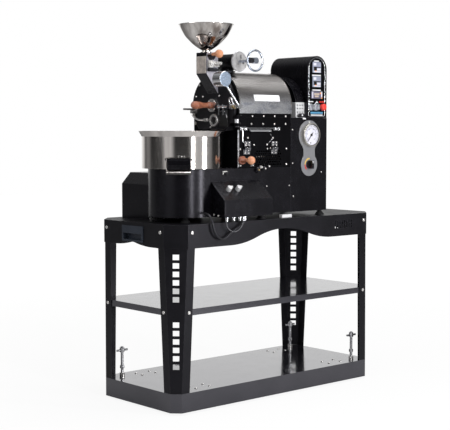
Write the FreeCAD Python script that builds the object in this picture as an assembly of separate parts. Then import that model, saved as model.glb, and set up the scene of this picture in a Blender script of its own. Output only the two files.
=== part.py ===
import FreeCAD, Part
import math
import os

from FreeCAD import Vector

# Coffee roaster on a steel stand.  Millimetres, +Z up, X along the roasting drum
# (-X is the face plate and cooling bin end), -Y is the side with the controls.
# Heights of the machine are counted from the table top, which is stand_height up.

# ---------------------------------------------------------------- clearances
seat_gap = 0.3            # between neighbours that rest or move beside each other
running_fit = 0.05        # radial play of a shaft in its bore
cord_gap = 0.4            # free play where a rod passes a sheet

# ---------------------------------------------------------------- stand
stand_width = 1200.0
stand_depth = 540.0
stand_height = 770.0
stand_corner = 70.0       # leg of the chamfer at each corner of the table
stand_sheet = 2.0
apron_drop = 96.0
apron_arch_half = 300.0
apron_arch_rise = 54.0
apron_notch_half = 125.0
apron_notch_rise = 16.0    # stays under the hole of the pull
leg_sheet = 3.0
leg_flange = 40.0
leg_top_inset = 2.5       # table edge to leg face, under the table
leg_foot_inset = 17.5     # the same at the lower shelf
leg_foot_corner = 33.5
leg_slot_width = 26.0
leg_slot_height = 22.0
leg_slot_pitch = 34.0
leg_slot_count = 14
lower_shelf_z = 88.0
skirt_clearance = 10.0
middle_shelf_z = 429.0
middle_shelf_lip = 26.0
apron_slot_count = 8
apron_slot_pitch = 15.0
apron_slot_height = 34.0
apron_slot_width = 6.0
apron_slot_inset = 223.0  # table end to the middle of the row of slots
bolt_head_radius = 7.0
bolt_head_height = 3.5
bolt_radius = 4.0
pull_width = 139.0
pull_height = 66.0
pull_depth = 22.0
pull_z = 48.0             # table top to the middle of the pull
pull_flange = 6.0
pull_finger_share = 0.52  # height of the finger edge in the pull
pull_lip = 3.0

caster_end_inset = 203.0
caster_side_inset = 90.0
caster_hole_x = 74.0
caster_hole_y = 44.0
caster_plate_edge = 9.0   # round the bolts of the top plate
caster_wheel_radius = 25.0
caster_wheel_width = 20.0
caster_wheel_round = 3.0
caster_trail = 20.0
caster_plate_sheet = 3.0
caster_cheek_sheet = 2.5
caster_head_radius = 19.0
caster_head_height = 9.0
caster_pin_radius = 5.0
caster_pin_length = 12.0
caster_axle_radius = 4.0
jack_end_inset = 90.0
jack_side_inset = 70.0
jack_rod_radius = 6.0
jack_nut_radius = 11.0
jack_nut_height = 14.0
jack_pad_radius = 20.0
jack_pad_height = 8.0
jack_pad_lift = 3.0
jack_reach = 128.0        # lower shelf to the top of the screw
jack_bar_length = 56.0
jack_bar_radius = 4.5
jack_bar_drop = 16.0      # top of the screw to the bar
jack_hub_radius = 10.0

# ---------------------------------------------------------------- body of the machine
body_half_width = 142.5
axis_y = -75.0            # middle plane of the machine and of the drum
axis_z = 478.0
foot_height = 21.0
foot_radius = 22.0
base_height = 219.0
base_sheet = 2.5
face_x = -213.0           # front wall of the drum housing
housing_rear_x = 95.0
tower_right_x = 320.0
tower_height = 430.0
wall_sheet = 3.0
tower_sheet = 2.0

# ---------------------------------------------------------------- cooling bin
bin_x = -398.0
bin_radius = 168.0
bin_sheet = 1.5
bin_depth = 131.0
bin_rim_radius = 181.0
bin_rim_rise = 22.0
bin_screen_lift = 20.0
bin_ledge = 8.0
air_hole_circle = 95.0
air_hole_radius = 24.0
screen_hole_radius = 3.5
screen_hole_pitch = 20.0
screen_hub = 24.0
screen_edge = 14.0
stirrer_shaft_radius = 9.0
stirrer_hub_radius = 20.0
stirrer_wall_gap = 22.0
stirrer_blade_turn = 16.0
stirrer_rest_turn = 20.0
stirrer_height = 62.0     # over the screen
stirrer_tail = 40.0       # below the floor of the bin
stirrer_arm = 8.0
stirrer_blade = 2.4
stirrer_blade_height = 34.0
stirrer_screen_gap = 1.2
screen_sheet = 1.5
outlet_angle = -134.0     # direction of the bean outlet around the bin
outlet_width = 100.0
outlet_reach = 190.0
outlet_low = 198.0
outlet_high = 267.0
flap_height = 27.0
flap_sheet = 2.5
flap_pin_radius = 3.0
flap_pin_inset = 5.0      # end of the outlet to the pin
flap_pin_drop = 8.0
flap_knob_radius = 5.0
flap_knob_reach = 7.0
outlet_lobe_radius = 7.0
chute_near_y = -197.0
chute_far_y = -39.0
chute_sheet = 2.0
chute_ear_height = 26.0   # over the rim of the bin
chute_ear_reach = 24.0    # out from the housing
chute_rim_angle = 43.9    # where the spout crosses the rim
chute_run = 26.0          # spout inside the rim
chute_drop = 22.0
chute_side = 8.0          # cheek along the spout

# ---------------------------------------------------------------- drum and drive
drum_radius = 110.0
drum_sheet = 3.0
drum_front_gap = 14.0
drum_length = 262.0
shaft_radius = 11.0
pulley_radius = 88.0
pulley_x = 150.0
pulley_width = 16.0
motor_pulley_radius = 28.0
motor_z = 330.0
belt_sheet = 4.0
belt_width = 10.0
cover_radius = 145.0
cover_sheet = 1.5
cover_left_x = -207.0
cover_low_z = 446.0
guard_left_x = 133.0
guard_right_x = 187.0
guard_radius = 133.0
guard_sheet = 1.5
guard_hole_radius = 3.6
guard_hole_pitch = 16.0
guard_hole_columns = 3
guard_hole_rows = 13      # to each side of the top
guard_hole_angle = 6.7
guard_side_rows = 3
tower_slot_half = 104.0
riser_radius = 28.0

# ---------------------------------------------------------------- burner door, air flap and burners
door_left_x, door_right_x = -186.0, 10.0
burner_door_low, burner_door_high = 303.0, 386.0
burner_hinge_z = 300.5
burner_hinge_x = (-167.0, -8.0)
burner_hinge_pin = 2.2
door_sheet = 3.0
door_bar_reach = 20.0
door_bar_radius = 5.0
door_bar_drop = 12.0
door_bar_x = (-165.0, -46.0)
door_post_radius = 3.5
door_post_inset = 8.0
door_pin_reach = 7.0
door_leaf_half = 18.0
door_leaf_height = 26.0
door_knuckle = 6.0
# raised middle of the burner door: x, and depth below its top edge
door_boss = ((-145, 16), (-28, 16), (-13, 43), (-49, 74), (-120, 74), (-157, 43))
airflow_x = -196.0
airflow_z = 251.0
airflow_stem_radius = 4.0
airflow_length = 60.0
airflow_tail = 44.0
airflow_collar = (17.0, 10.0)   # radius and length
mesh_x = (-118.0, 46.0)
mesh_z = (224.0, 292.0)
mesh_pitch = 13.0
mesh_hole = 5.3
door_lap = 11.0           # door over its opening
drum_clear = 4.0
bearing_clear = 6.0
bearing_length = 22.0
bearing_half = 31.0
end_wall_parts = 12
burner_lift = 43.0        # base top to the middle of the pipes
burner_pitch = 55.0
burner_radius = 11.0
burner_wall = 3.0

# ---------------------------------------------------------------- face plate and its fittings
plate_radius = 135.0
plate_thickness = 16.0
plate_flat_z = 380.0
plate_round = 5.0
hinge_x = -228.0
hinge_y = -224.0
hinge_radius = 9.5
hinge_low_z = 389.0
hinge_high_z = 438.0
hinge_pin_radius = 4.0
hinge_leaf = 3.0
hinge_leaf_reach = 40.0
door_pivot_x = -248.0
door_pivot_z = 473.0
door_shaft_radius = 6.0
door_shaft_rear = -114.0
door_eye_radius = 10.0
door_lug_back = 4.0
door_lug_foot = 6.0
door_lever_y = -262.0
weight_radius = 31.5
weight_length = 50.0
weight_x = -326.0
weight_z = 583.0
door_y = -148.0
door_width = 60.0
door_low_z = 392.0
door_opening = 44.0
door_opening_lift = 6.0
door_plate_sheet = 6.0
door_arm_width = 7.0
door_arm_y = (-168.0, -140.0)
door_arm_drop = 34.0
door_lever_radius = 4.5
door_hub_radius = 11.0
trier_y = -84.0
trier_z = 480.0
trier_radius = 8.0
boss_radius = 27.0
boss_height = 15.0
sight_y = -94.0
sight_z = 417.0
sight_radius = 27.0
sight_glass_radius = 17.0
probe_y = 20.0
probe_z = 465.0
probe_radius = 4.0
probe_length = 82.0
probe_nut_radius = 9.0
tube_radius = 4.0
tube_stand_off = 24.0
tube_top = (34.0, 452.0)  # y and height of the bent tube's ends
tube_end = (-52.0, 419.0)

# ---------------------------------------------------------------- hopper
hopper_x = -266.0
hopper_rim_z = 818.0
hopper_rim_radius = 116.0
hopper_sheet = 1.5
hopper_tube_radius = 17.0
hopper_tube_low = 695.5
neck_front_x = -292.0
neck_half_width = 33.0
neck_top_z = 700.0
neck_bend_z = 611.0
neck_low_z = 530.0
neck_sheet = 2.5
neck_window_half = 20.0
neck_window_edge = 12.0
neck_window_drop = 32.0
neck_frame_proud = 3.0
inlet_half = 26.0
inlet_edge = 14.0
gate_thickness = 3.0
gate_z = 690.5
gate_width = 38.0
ball_radius = 17.5
gate_ball_y = -157.0
# height and radius of the bowl's outside
bowl_profile = [(818, 114.5), (800, 107), (785, 99), (768, 88), (749, 70), (739, 60), (722, 38), (709, 17)]

# ---------------------------------------------------------------- exhaust
duct_x = -150.0
duct_z = 664.0
duct_radius = 34.0
duct_sheet = 2.0
duct_front_y = -150.0
duct_rear_y = 70.0
duct_collar_radius = 36.0
duct_collar_length = 30.0
dial_radius = 42.5
handwheel_y = -251.0
handwheel_radius = 47.0
handwheel_bar = 4.5
damper_shaft_radius = 5.0

# ---------------------------------------------------------------- boxes and controls
box_left_x = -364.0
box_right_x = -95.0
box_front_y = -303.0
box_low_z = 22.0
box_front_z = 92.0
box_back_z = 166.0
box_sheet = 2.0
box_knob_x = (-308.0, -257.0)
box_knob_y = -260.0
box_knob_radius = 11.0
box_knob_height = 20.0
fan_box_left_x = -464.0
fan_box_right_x = -170.0
fan_box_rear_y = 255.0
fan_box_front_z = 146.0
fan_box_top_z = 194.0
fan_box_slope = 46.0
fan_radius = 70.0
outlet_pipe_radius = 50.0
arch_left_x = 189.0
arch_right_x = 311.0
arch_front_y = -223.0
arch_rear_y = 8.0
arch_top_z = 701.0
arch_sheet = 2.0
gauge_x = 206.0
gauge_z = 355.0
gauge_plate_radius = 64.0
gauge_case_radius = 51.0
gauge_case_depth = 19.0
gas_knob_z = 225.0
gas_plate_radius = 50.0
gas_knob_radius = 19.0
gauge_rest_angle = -140.0
panel_recess = 6.0
panel_sheet = 3.0
module_proud = 3.0
# low edge, high edge and half width of the controllers and the timer
panel_modules = ((628, 676, 24), (565, 613, 24), (514, 548, 34))
switch_x = (216.0, 249.0)
stop_x = 279.0
switch_z = 477.0
switch_radius = 14.0
switch_height = 9.0
stop_radius = 15.0
stop_height = 14.0
knob_stem_radius = 8.0

# ---------------------------------------------------------------- cords and connectors
connector_x = (-341.0, -303.0, -270.0)
plug_x = (24.0, 82.0)
plug_y = (-238.0, -220.0)
plug_height = 13.0
connector_y = -288.0
connector_radius = 6.0
connector_length = 17.0
connector_nut = 2.5       # how far nuts and glands stand round what they hold
connector_nut_height = 6.0
cable_radius = 4.5
lead_radius = 2.2
# routes of the cables: x, y and height above the table top
cable_points = [(-414, -228, 40), (-414, -248, 39), (-414, -269, 30), (-413, -282, 9), (-410, -285, -15),
                (-402, -286, -38), (-387, -286, -56), (-365, -285, -66), (-341, -284, -61), (-319, -283, -46),
                (-296, -283, -32), (-272, -283, -22), (-249, -283, -11), (-236, -283, 5)]
lead_points = [(-341, -288, 5), (-342, -289, -6), (-339, -291, -19), (-327, -293, -31), (-311, -294, -38),
               (-293, -294, -38), (-276, -293, -31), (-262, -291, -20), (-253, -289, -8), (-250, -288, 4)]

apron_slot_x = stand_width / 2 - apron_slot_inset
caster_x = stand_width / 2 - caster_end_inset
caster_y = stand_depth / 2 - caster_side_inset
jack_x = stand_width / 2 - jack_end_inset
jack_y = stand_depth / 2 - jack_side_inset
body_front_y = axis_y - body_half_width
body_rear_y = axis_y + body_half_width
# middle of the whole depth, from the control box to the bolt heads at the back
frame_y = (box_front_y + stand_depth / 2 + seat_gap + bolt_head_height) / 2


# ---------------------------------------------------------------- helpers
def block(x, y, z):
    """Box from three (low, high) pairs."""
    return Part.makeBox(x[1] - x[0], y[1] - y[0], z[1] - z[0], Vector(x[0], y[0], z[0]))


def rod(start, end, radius):
    """Cylinder from one point to another."""
    a, b = Vector(*start), Vector(*end)
    return Part.makeCylinder(radius, (b - a).Length, a, b - a)


def ring(start, end, outer, inner):
    return rod(start, end, outer).cut(rod(start, end, inner))


def prism(points, direction):
    """Polygon of 3-D points, extruded."""
    loop = [Vector(*p) for p in points]
    return Part.Face(Part.makePolygon(loop + [loop[0]])).extrude(Vector(*direction))


def prism_x(points, x):
    return prism([(x[0], y, z) for y, z in points], (x[1] - x[0], 0, 0))


def prism_y(points, y):
    return prism([(x, y[0], z) for x, z in points], (0, y[1] - y[0], 0))


def prism_z(points, z):
    return prism([(x, y, z[0]) for x, y in points], (0, 0, z[1] - z[0]))


def fuse(shapes):
    return shapes[0].multiFuse(shapes[1:]).removeSplitter() if len(shapes) > 1 else shapes[0]


def cut(shape, tools):
    return shape.cut(Part.makeCompound(tools))


def turned(profile, origin, axis):
    """Solid turned from (distance along the axis, radius) points."""
    loop = [Vector(r, 0, d) for d, r in profile]
    face = Part.Face(Part.makePolygon([Vector(0, 0, profile[0][0])] + loop
                                      + [Vector(0, 0, profile[-1][0]), Vector(0, 0, profile[0][0])]))
    solid = face.revolve(Vector(0, 0, 0), Vector(0, 0, 1), 360)
    solid.Placement = FreeCAD.Placement(Vector(*origin), FreeCAD.Rotation(Vector(0, 0, 1), Vector(*axis)))
    return solid


def rounded(shape, radius, wanted):
    """Round the straight edges that the test picks."""
    edges = [e for e in shape.Edges if e.Curve.TypeId == "Part::GeomLine" and wanted(e)]
    return shape.makeFillet(radius, edges) if edges else shape


def round_edges(shape):
    return [e for e in shape.Edges if e.Curve.TypeId == "Part::GeomCircle"]


def rims_at(shape, axis, value):
    """Circular edges of a shape in one plane across an axis."""
    return [e for e in round_edges(shape) if abs(getattr(e.CenterOfMass, axis) - value) < 0.1]


def runs_along(edge, axis):
    a, b = edge.firstVertex().Point, edge.lastVertex().Point
    d = (b - a).normalize()
    return abs(abs(getattr(d, axis)) - 1) < 1e-6


def around(plate, y, z):
    """The four parts of an upright plate round a window through it along X."""
    box = plate.BoundBox
    x = (box.XMin - 1, box.XMax + 1)
    low, high = box.ZMin - 1, box.ZMax + 1
    places = [((box.YMin - 1, y[0]), (low, high)), ((y[1], box.YMax + 1), (low, high)), (y, (low, z[0])),
              (y, (z[1], high))]
    return [plate.common(block(x, part_y, part_z)) for part_y, part_z in places]


def sectors(plate, centre, prism_along, along, count):
    """Parts of a plate between planes through the middle of a round hole, so that each is nearly convex."""
    reach = plate.BoundBox.DiagonalLength
    parts = []
    for k in range(count):
        corners = [centre]
        for edge in (k - 0.5, k + 0.5):
            angle = math.tau * edge / count
            corners.append((centre[0] + reach * math.cos(angle), centre[1] + reach * math.sin(angle)))
        parts.append(plate.common(prism_along(corners, along)))
    return parts


def up(z):
    """Height above the table top, as a height above the floor."""
    return stand_height + z


def mirror_corners():
    return [(sx, sy) for sx in (-1, 1) for sy in (-1, 1)]


nodes = {}


def add(name, *shapes):
    """Keep a sub-part, with the origin under the middle of the whole depth."""
    whole = Part.makeCompound(list(shapes)) if len(shapes) > 1 else shapes[0].copy()
    whole.translate(Vector(0, -frame_y, 0))
    nodes[name] = whole


# ---------------------------------------------------------------- stand
def chamfered(inset, corner):
    """Outline of the table, moved in and with its own chamfer."""
    x, y = stand_width / 2 - inset, stand_depth / 2 - inset
    return [(-x + corner, -y), (x - corner, -y), (x, -y + corner), (x, y - corner),
            (x - corner, y), (-x + corner, y), (-x, y - corner), (-x, -y + corner)]


def offset_corner(corner, distance):
    """Chamfer of an outline that lies a distance inside another one."""
    return corner - distance * (2 - math.sqrt(2))


def tray(outline, inner, z, sheet):
    """Plate with a turned-down skirt."""
    shell = prism_z(outline, z).cut(prism_z(inner, (z[0], z[1] - sheet)))
    return shell


def arch_cutter(half, rise, low):
    """Arch with a crown arc and two shoulder arcs, as a face in X and Z."""
    radius = (half ** 2 + rise ** 2) / (4 * rise)
    middle_x, middle_z = half / 2, low + rise / 2
    bend = math.asin(half / 2 / radius) / 2
    crown = (radius * math.sin(bend), low + rise - radius * (1 - math.cos(bend)))
    foot = (half - radius * math.sin(bend), low + radius * (1 - math.cos(bend)))
    def arc(a, b, c):
        return Part.Arc(Vector(a[0], 0, a[1]), Vector(b[0], 0, b[1]), Vector(c[0], 0, c[1])).toShape()
    def line(a, b):
        return Part.LineSegment(Vector(a[0], 0, a[1]), Vector(b[0], 0, b[1])).toShape()
    below = low - apron_drop
    edges = [arc((-half, low), (-foot[0], foot[1]), (-middle_x, middle_z)),
             arc((-middle_x, middle_z), (0, low + rise), (middle_x, middle_z)),
             arc((middle_x, middle_z), (foot[0], foot[1]), (half, low)),
             line((half, low), (half, below)), line((half, below), (-half, below)),
             line((-half, below), (-half, low))]
    return Part.Face(Part.Wire(edges))


def notch_cutter(half, rise, low):
    """Two arcs that meet in a point, as a face in Y and Z."""
    radius = (half ** 2 + rise ** 2) / (2 * rise)
    bend = math.asin(half / radius) / 2
    side = (half - radius * math.sin(bend), low + radius * (1 - math.cos(bend)))
    def arc(a, b, c):
        return Part.Arc(Vector(0, a[0], a[1]), Vector(0, b[0], b[1]), Vector(0, c[0], c[1])).toShape()
    def line(a, b):
        return Part.LineSegment(Vector(0, a[0], a[1]), Vector(0, b[0], b[1])).toShape()
    below = low - apron_drop
    edges = [arc((-half, low), (-side[0], side[1]), (0, low + rise)),
             arc((0, low + rise), (side[0], side[1]), (half, low)),
             line((half, low), (half, below)), line((half, below), (-half, below)),
             line((-half, below), (-half, low))]
    return Part.Face(Part.Wire(edges))


def leg_inset(z):
    top, foot = stand_height - stand_sheet, lower_shelf_z
    return leg_top_inset + (leg_foot_inset - leg_top_inset) * (top - z) / (top - foot)


def leg_corner(z):
    top, foot = stand_height - stand_sheet, lower_shelf_z
    return stand_corner + (leg_foot_corner - stand_corner) * (top - z) / (top - foot)


def bolt_places():
    """Head position and outward normal of each bolt on the stand."""
    places = []
    high = stand_height - apron_drop / 3
    low = middle_shelf_z - middle_shelf_lip / 2
    for sx, sy in mirror_corners():
        for z, corner, inset in ((high, stand_corner, 0.0), (low, leg_corner(low), leg_inset(low))):
            along = corner + inset + leg_flange / 2
            places.append(((sx * (stand_width / 2 - along), sy * (stand_depth / 2 - inset), z), (0, sy, 0)))
            places.append(((sx * (stand_width / 2 - inset), sy * (stand_depth / 2 - along), z), (sx, 0, 0)))
    return places


def make_stand_top():
    low = stand_height - apron_drop
    corner = offset_corner(stand_corner, stand_sheet)
    shell = tray(chamfered(0, stand_corner), chamfered(stand_sheet, corner), (low, stand_height), stand_sheet)
    arch = arch_cutter(apron_arch_half, apron_arch_rise, low)
    notch = notch_cutter(apron_notch_half, apron_notch_rise, low)
    tools = []
    for side in (-1, 1):
        face = arch.copy()
        face.translate(Vector(0, side * stand_depth / 2 - stand_sheet * 2, 0))
        tools.append(face.extrude(Vector(0, stand_sheet * 4, 0)))
        face = notch.copy()
        face.translate(Vector(side * stand_width / 2 - stand_sheet * 2, 0, 0))
        tools.append(face.extrude(Vector(stand_sheet * 4, 0, 0)))
        wall = sorted((side * stand_width / 2, side * (stand_width / 2 - 2 * stand_sheet)))
        tools.append(block(wall, (-pull_width / 2 + pull_flange, pull_width / 2 - pull_flange),
                           (stand_height - pull_z - pull_height / 2 + pull_flange,
                            stand_height - pull_z + pull_height / 2 - pull_flange)))
    for i in range(apron_slot_count):
        x = apron_slot_x + (i - (apron_slot_count - 1) / 2) * apron_slot_pitch
        z = stand_height - apron_drop * 0.45
        tools.append(block((x - apron_slot_width / 2, x + apron_slot_width / 2),
                           (-stand_depth / 2 - stand_sheet, -stand_depth / 2 + 2 * stand_sheet),
                           (z - apron_slot_height / 2, z + apron_slot_height / 2)))
    for place, normal in bolt_places():
        if place[2] > low:
            tools.append(bolt_hole(place, normal))
    add("stand_top", cut(shell, tools))


def bolt_hole(place, normal, depth=30.0):
    p, n = Vector(*place), Vector(*normal)
    return rod(p + n, p - n * depth, bolt_radius + cord_gap)


def make_pulls():
    """Recessed pulls in the short aprons."""
    solids = []
    for side in (-1, 1):
        face = side * stand_width / 2
        def span(a, b):
            return sorted((face + side * a, face + side * b))
        y = (-pull_width / 2, pull_width / 2)
        z = (stand_height - pull_z - pull_height / 2, stand_height - pull_z + pull_height / 2)
        hole_y = (y[0] + pull_flange + seat_gap, y[1] - pull_flange - seat_gap)
        hole_z = (z[0] + pull_flange + seat_gap, z[1] - pull_flange - seat_gap)
        bezel = block(span(0, 2 * stand_sheet), y, z)
        cup = block(span(-pull_depth, 0), hole_y, hole_z)
        recess = block(span(-pull_depth + stand_sheet, 3 * stand_sheet),
                       (hole_y[0] + stand_sheet, hole_y[1] - stand_sheet),
                       (hole_z[0] + stand_sheet, hole_z[1] - stand_sheet))
        finger = block(span(-pull_depth, 2 * stand_sheet),
                       (hole_y[0] + stand_sheet, hole_y[1] - stand_sheet),
                       (z[0] + pull_height * pull_finger_share, hole_z[1] - stand_sheet))
        lip = finger.cut(block(span(-pull_depth, 2 * stand_sheet - pull_lip),
                               (y[0], y[1]), (z[0], z[1])))
        solids.append(fuse([bezel, cup]).cut(recess).fuse(lip).removeSplitter())
    add("pull_handles", *solids)


def make_legs():
    solids = []
    for sx, sy in mirror_corners():
        wires = []
        for z in (lower_shelf_z + seat_gap, stand_height - stand_sheet - seat_gap):
            inset, corner = leg_inset(z), leg_corner(z)
            x0, y0, t = stand_width / 2 - inset, stand_depth / 2 - inset, leg_sheet
            k = math.tan(math.radians(22.5)) * t
            outline = [(x0 - corner - leg_flange, y0), (x0 - corner, y0), (x0, y0 - corner),
                       (x0, y0 - corner - leg_flange), (x0 - t, y0 - corner - leg_flange),
                       (x0 - t, y0 - corner - k), (x0 - corner - k, y0 - t), (x0 - corner - leg_flange, y0 - t)]
            loop = [Vector(sx * x, sy * y, z) for x, y in outline]
            wires.append(Part.makePolygon(loop + [loop[0]]))
        leg = Part.makeLoft(wires, True, True)
        if leg.Volume < 0:
            leg = Part.Solid(leg.Shells[0].reversed())
        tools = []
        first = stand_height - apron_drop - leg_slot_pitch
        for i in range(leg_slot_count):
            z = first - i * leg_slot_pitch
            if abs(z - (middle_shelf_z - middle_shelf_lip / 2)) < (middle_shelf_lip + leg_slot_height) / 2:
                continue
            inset, corner = leg_inset(z), leg_corner(z)
            middle = Vector(sx * (stand_width / 2 - inset - corner / 2), sy * (stand_depth / 2 - inset - corner / 2), z)
            slot = Part.makeBox(leg_slot_width, 8 * leg_sheet, leg_slot_height,
                                Vector(-leg_slot_width / 2, -4 * leg_sheet, -leg_slot_height / 2))
            slot.Placement = FreeCAD.Placement(middle, FreeCAD.Rotation(Vector(0, 1, 0), Vector(sx, sy, 0)))
            tools.append(slot)
        for place, normal in bolt_places():
            if place[0] * sx > 0 and place[1] * sy > 0:
                tools.append(bolt_hole(place, normal))
        solids.append(cut(leg, tools))
    add("legs", *solids)


def make_shelves():
    low = middle_shelf_z - middle_shelf_lip
    inset = leg_inset(low) + leg_sheet + seat_gap
    corner = leg_corner(low) - 2 * (inset - leg_inset(low)) + math.sqrt(2) * (leg_sheet + seat_gap)
    outer = chamfered(inset, corner)
    inner = chamfered(inset + stand_sheet, offset_corner(corner, stand_sheet))
    under = middle_shelf_z - stand_sheet
    plate = prism_z(outer, (under, middle_shelf_z))
    holes = [bolt_hole(p, n) for p, n in bolt_places() if p[2] < middle_shelf_z]
    lips = [cut(prism_z([outer[i - 1], outer[i], inner[i], inner[i - 1]], (low, under)), holes)
            for i in range(len(outer))]
    add("middle_shelf", plate, *lips)

    corner = leg_foot_corner
    inner = chamfered(leg_foot_inset + stand_sheet, offset_corner(corner, stand_sheet))
    base = tray(chamfered(leg_foot_inset, corner), inner, (skirt_clearance, lower_shelf_z), stand_sheet)
    tools = []
    for sx, sy in mirror_corners():
        tools.append(rod((sx * jack_x, sy * jack_y, 0), (sx * jack_x, sy * jack_y, stand_height / 2),
                         jack_rod_radius + cord_gap))
        for hx in (-1, 1):
            for hy in (-1, 1):
                x, y = sx * caster_x + hx * caster_hole_x / 2, sy * caster_y + hy * caster_hole_y / 2
                tools.append(rod((x, y, lower_shelf_z - 2 * stand_sheet), (x, y, lower_shelf_z + 1), bolt_radius))
    add("lower_shelf", cut(base, tools))


def make_hardware():
    """Bolts, caster top plates and the jack nuts."""
    solids = []
    for place, normal in bolt_places():
        p, n = Vector(*place), Vector(*normal)
        low = place[2] < middle_shelf_z
        grip = leg_sheet + 2 * stand_sheet + 2 * seat_gap + (0 if low else leg_top_inset)
        head = Part.makeCylinder(bolt_head_radius, bolt_head_height, p + n * seat_gap, n)
        shank = rod(p + n * seat_gap, p - n * (grip + 4), bolt_radius)
        solids.append(fuse([rounded_head(head, bolt_head_height * 0.4), shank]))
    under = lower_shelf_z - stand_sheet
    for sx, sy in mirror_corners():
        x, y = sx * caster_x, sy * caster_y
        half_x, half_y = caster_hole_x / 2 + caster_plate_edge, caster_hole_y / 2 + caster_plate_edge
        plate = block((x - half_x, x + half_x), (y - half_y, y + half_y), (under - caster_plate_sheet, under))
        pin = rod((x, y, under), (x, y, under - caster_plate_sheet - caster_pin_length), caster_pin_radius)
        bolts = []
        for hx in (-1, 1):
            for hy in (-1, 1):
                bx, by = x + hx * caster_hole_x / 2, y + hy * caster_hole_y / 2
                bolts.append(rod((bx, by, under - caster_plate_sheet - 3), (bx, by, lower_shelf_z + 1.5),
                                 bolt_radius - cord_gap))
                bolts.append(rod((bx, by, lower_shelf_z + seat_gap), (bx, by, lower_shelf_z + seat_gap + 2.5),
                                 bolt_head_radius * 0.8))
        solids.append(fuse([plate, pin] + bolts))
        x, y = sx * jack_x, sy * jack_y
        solids.append(ring((x, y, lower_shelf_z), (x, y, lower_shelf_z + jack_nut_height), jack_nut_radius,
                           jack_rod_radius + running_fit))
    add("stand_hardware", *solids)


def rounded_head(head, radius):
    return head.makeFillet(radius, [e for e in head.Edges if e.Curve.TypeId == "Part::GeomCircle"][:1])


def make_casters():
    under = lower_shelf_z - stand_sheet - caster_plate_sheet
    side, sheet, r = caster_wheel_width / 2 + 1, caster_cheek_sheet, caster_wheel_radius
    for i, (sx, sy) in enumerate(mirror_corners(), 1):
        x, y = sx * caster_x, sy * caster_y
        axle_x = x + caster_trail
        head = rod((x, y, under - seat_gap), (x, y, under - seat_gap - caster_head_height), caster_head_radius)
        top, web_x = under - caster_head_height, (x - 14, x + 16)
        outline = [(web_x[0], top + 3), (web_x[1], top + 3), (axle_x + 9, r - 2), (axle_x + 5, r - 8),
                   (axle_x - 6, r - 8)]
        cheeks = [prism_y(outline, sorted((y + s * side, y + s * (side + sheet)))) for s in (-1, 1)]
        web = block(web_x, (y - side - sheet, y + side + sheet), (top - 1, top + 2))
        bore = rod((x, y, under), (x, y, under - 2 * caster_pin_length), caster_pin_radius + running_fit)
        axle = rod((axle_x, y - side - 4, r), (axle_x, y + side + 4, r), caster_axle_radius)
        add("caster_fork_%d" % i, fuse([head, web] + cheeks).cut(bore).fuse(axle).removeSplitter())
        wheel = rod((axle_x, y - caster_wheel_width / 2, r), (axle_x, y + caster_wheel_width / 2, r), r)
        wheel = wheel.makeFillet(caster_wheel_round, round_edges(wheel))
        add("caster_wheel_%d" % i, wheel.cut(rod((axle_x, y - caster_wheel_width, r),
                                                 (axle_x, y + caster_wheel_width, r),
                                                 caster_axle_radius + running_fit)))


def make_jacks():
    for i, (sx, sy) in enumerate(mirror_corners(), 1):
        x, y = sx * jack_x, sy * jack_y
        top = lower_shelf_z + jack_reach
        bar_z = top - jack_bar_drop
        half = jack_bar_length / 2
        socket_z = lower_shelf_z + jack_nut_height + 20
        pad = rod((x, y, jack_pad_lift), (x, y, jack_pad_lift + jack_pad_height), jack_pad_radius)
        screw = rod((x, y, jack_pad_lift), (x, y, top), jack_rod_radius)
        bar = rod((x - half, y, bar_z), (x + half, y, bar_z), jack_bar_radius)
        hub = rod((x, y, bar_z - jack_bar_drop / 2), (x, y, top - 4), jack_hub_radius)
        socket = rod((x, y, socket_z), (x, y, socket_z + 12), jack_hub_radius - 0.5)
        add("jack_screw_%d" % i, fuse([pad, screw, bar, hub, socket]))


# ---------------------------------------------------------------- base, boxes, tower
def nose_outline(inset, right_x, z):
    """U-shaped plan of the base, half round at the bin end."""
    r = body_half_width - inset
    a, b = Vector(right_x, axis_y - r, z), Vector(bin_x, axis_y - r, z)
    c, d = Vector(bin_x, axis_y + r, z), Vector(right_x, axis_y + r, z)
    edges = [Part.LineSegment(a, b).toShape(), Part.Arc(b, Vector(bin_x - r, axis_y, z), c).toShape(),
             Part.LineSegment(c, d).toShape(), Part.LineSegment(d, a).toShape()]
    return Part.Face(Part.Wire(edges))


def air_holes(z):
    tools = []
    for i in range(6):
        angle = math.radians(60 * i + 30)
        x, y = bin_x + air_hole_circle * math.cos(angle), axis_y + air_hole_circle * math.sin(angle)
        tools.append(rod((x, y, z[0]), (x, y, z[1]), air_hole_radius))
    return tools


def make_base():
    low, high = up(foot_height), up(base_height)
    outer = nose_outline(0, housing_rear_x, low).extrude(Vector(0, 0, high - low))
    outer = outer.makeFillet(3, [e for e in outer.Edges if abs(e.CenterOfMass.z - high) < 0.1
                                 and e.CenterOfMass.x < housing_rear_x - 1])
    inner = nose_outline(base_sheet, housing_rear_x - base_sheet, low + base_sheet)
    shell = outer.cut(inner.extrude(Vector(0, 0, high - low - 2 * base_sheet)))
    tools = air_holes((high - 10, high + 10))
    tools.append(rod((bin_x, axis_y, high - 10), (bin_x, axis_y, high + 10), stirrer_shaft_radius + 4))
    fan_x, fan_z = fan_centre()
    tools.append(rod((fan_x, body_rear_y - 10, fan_z), (fan_x, body_rear_y + 10, fan_z), fan_radius * 0.7))
    tools.append(rod((cable_points[0][0], body_front_y - 10, up(cable_points[0][2])),
                     (cable_points[0][0], body_front_y + 20, up(cable_points[0][2])), cable_radius + 1))
    add("base_housing", cut(shell, tools))


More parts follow.
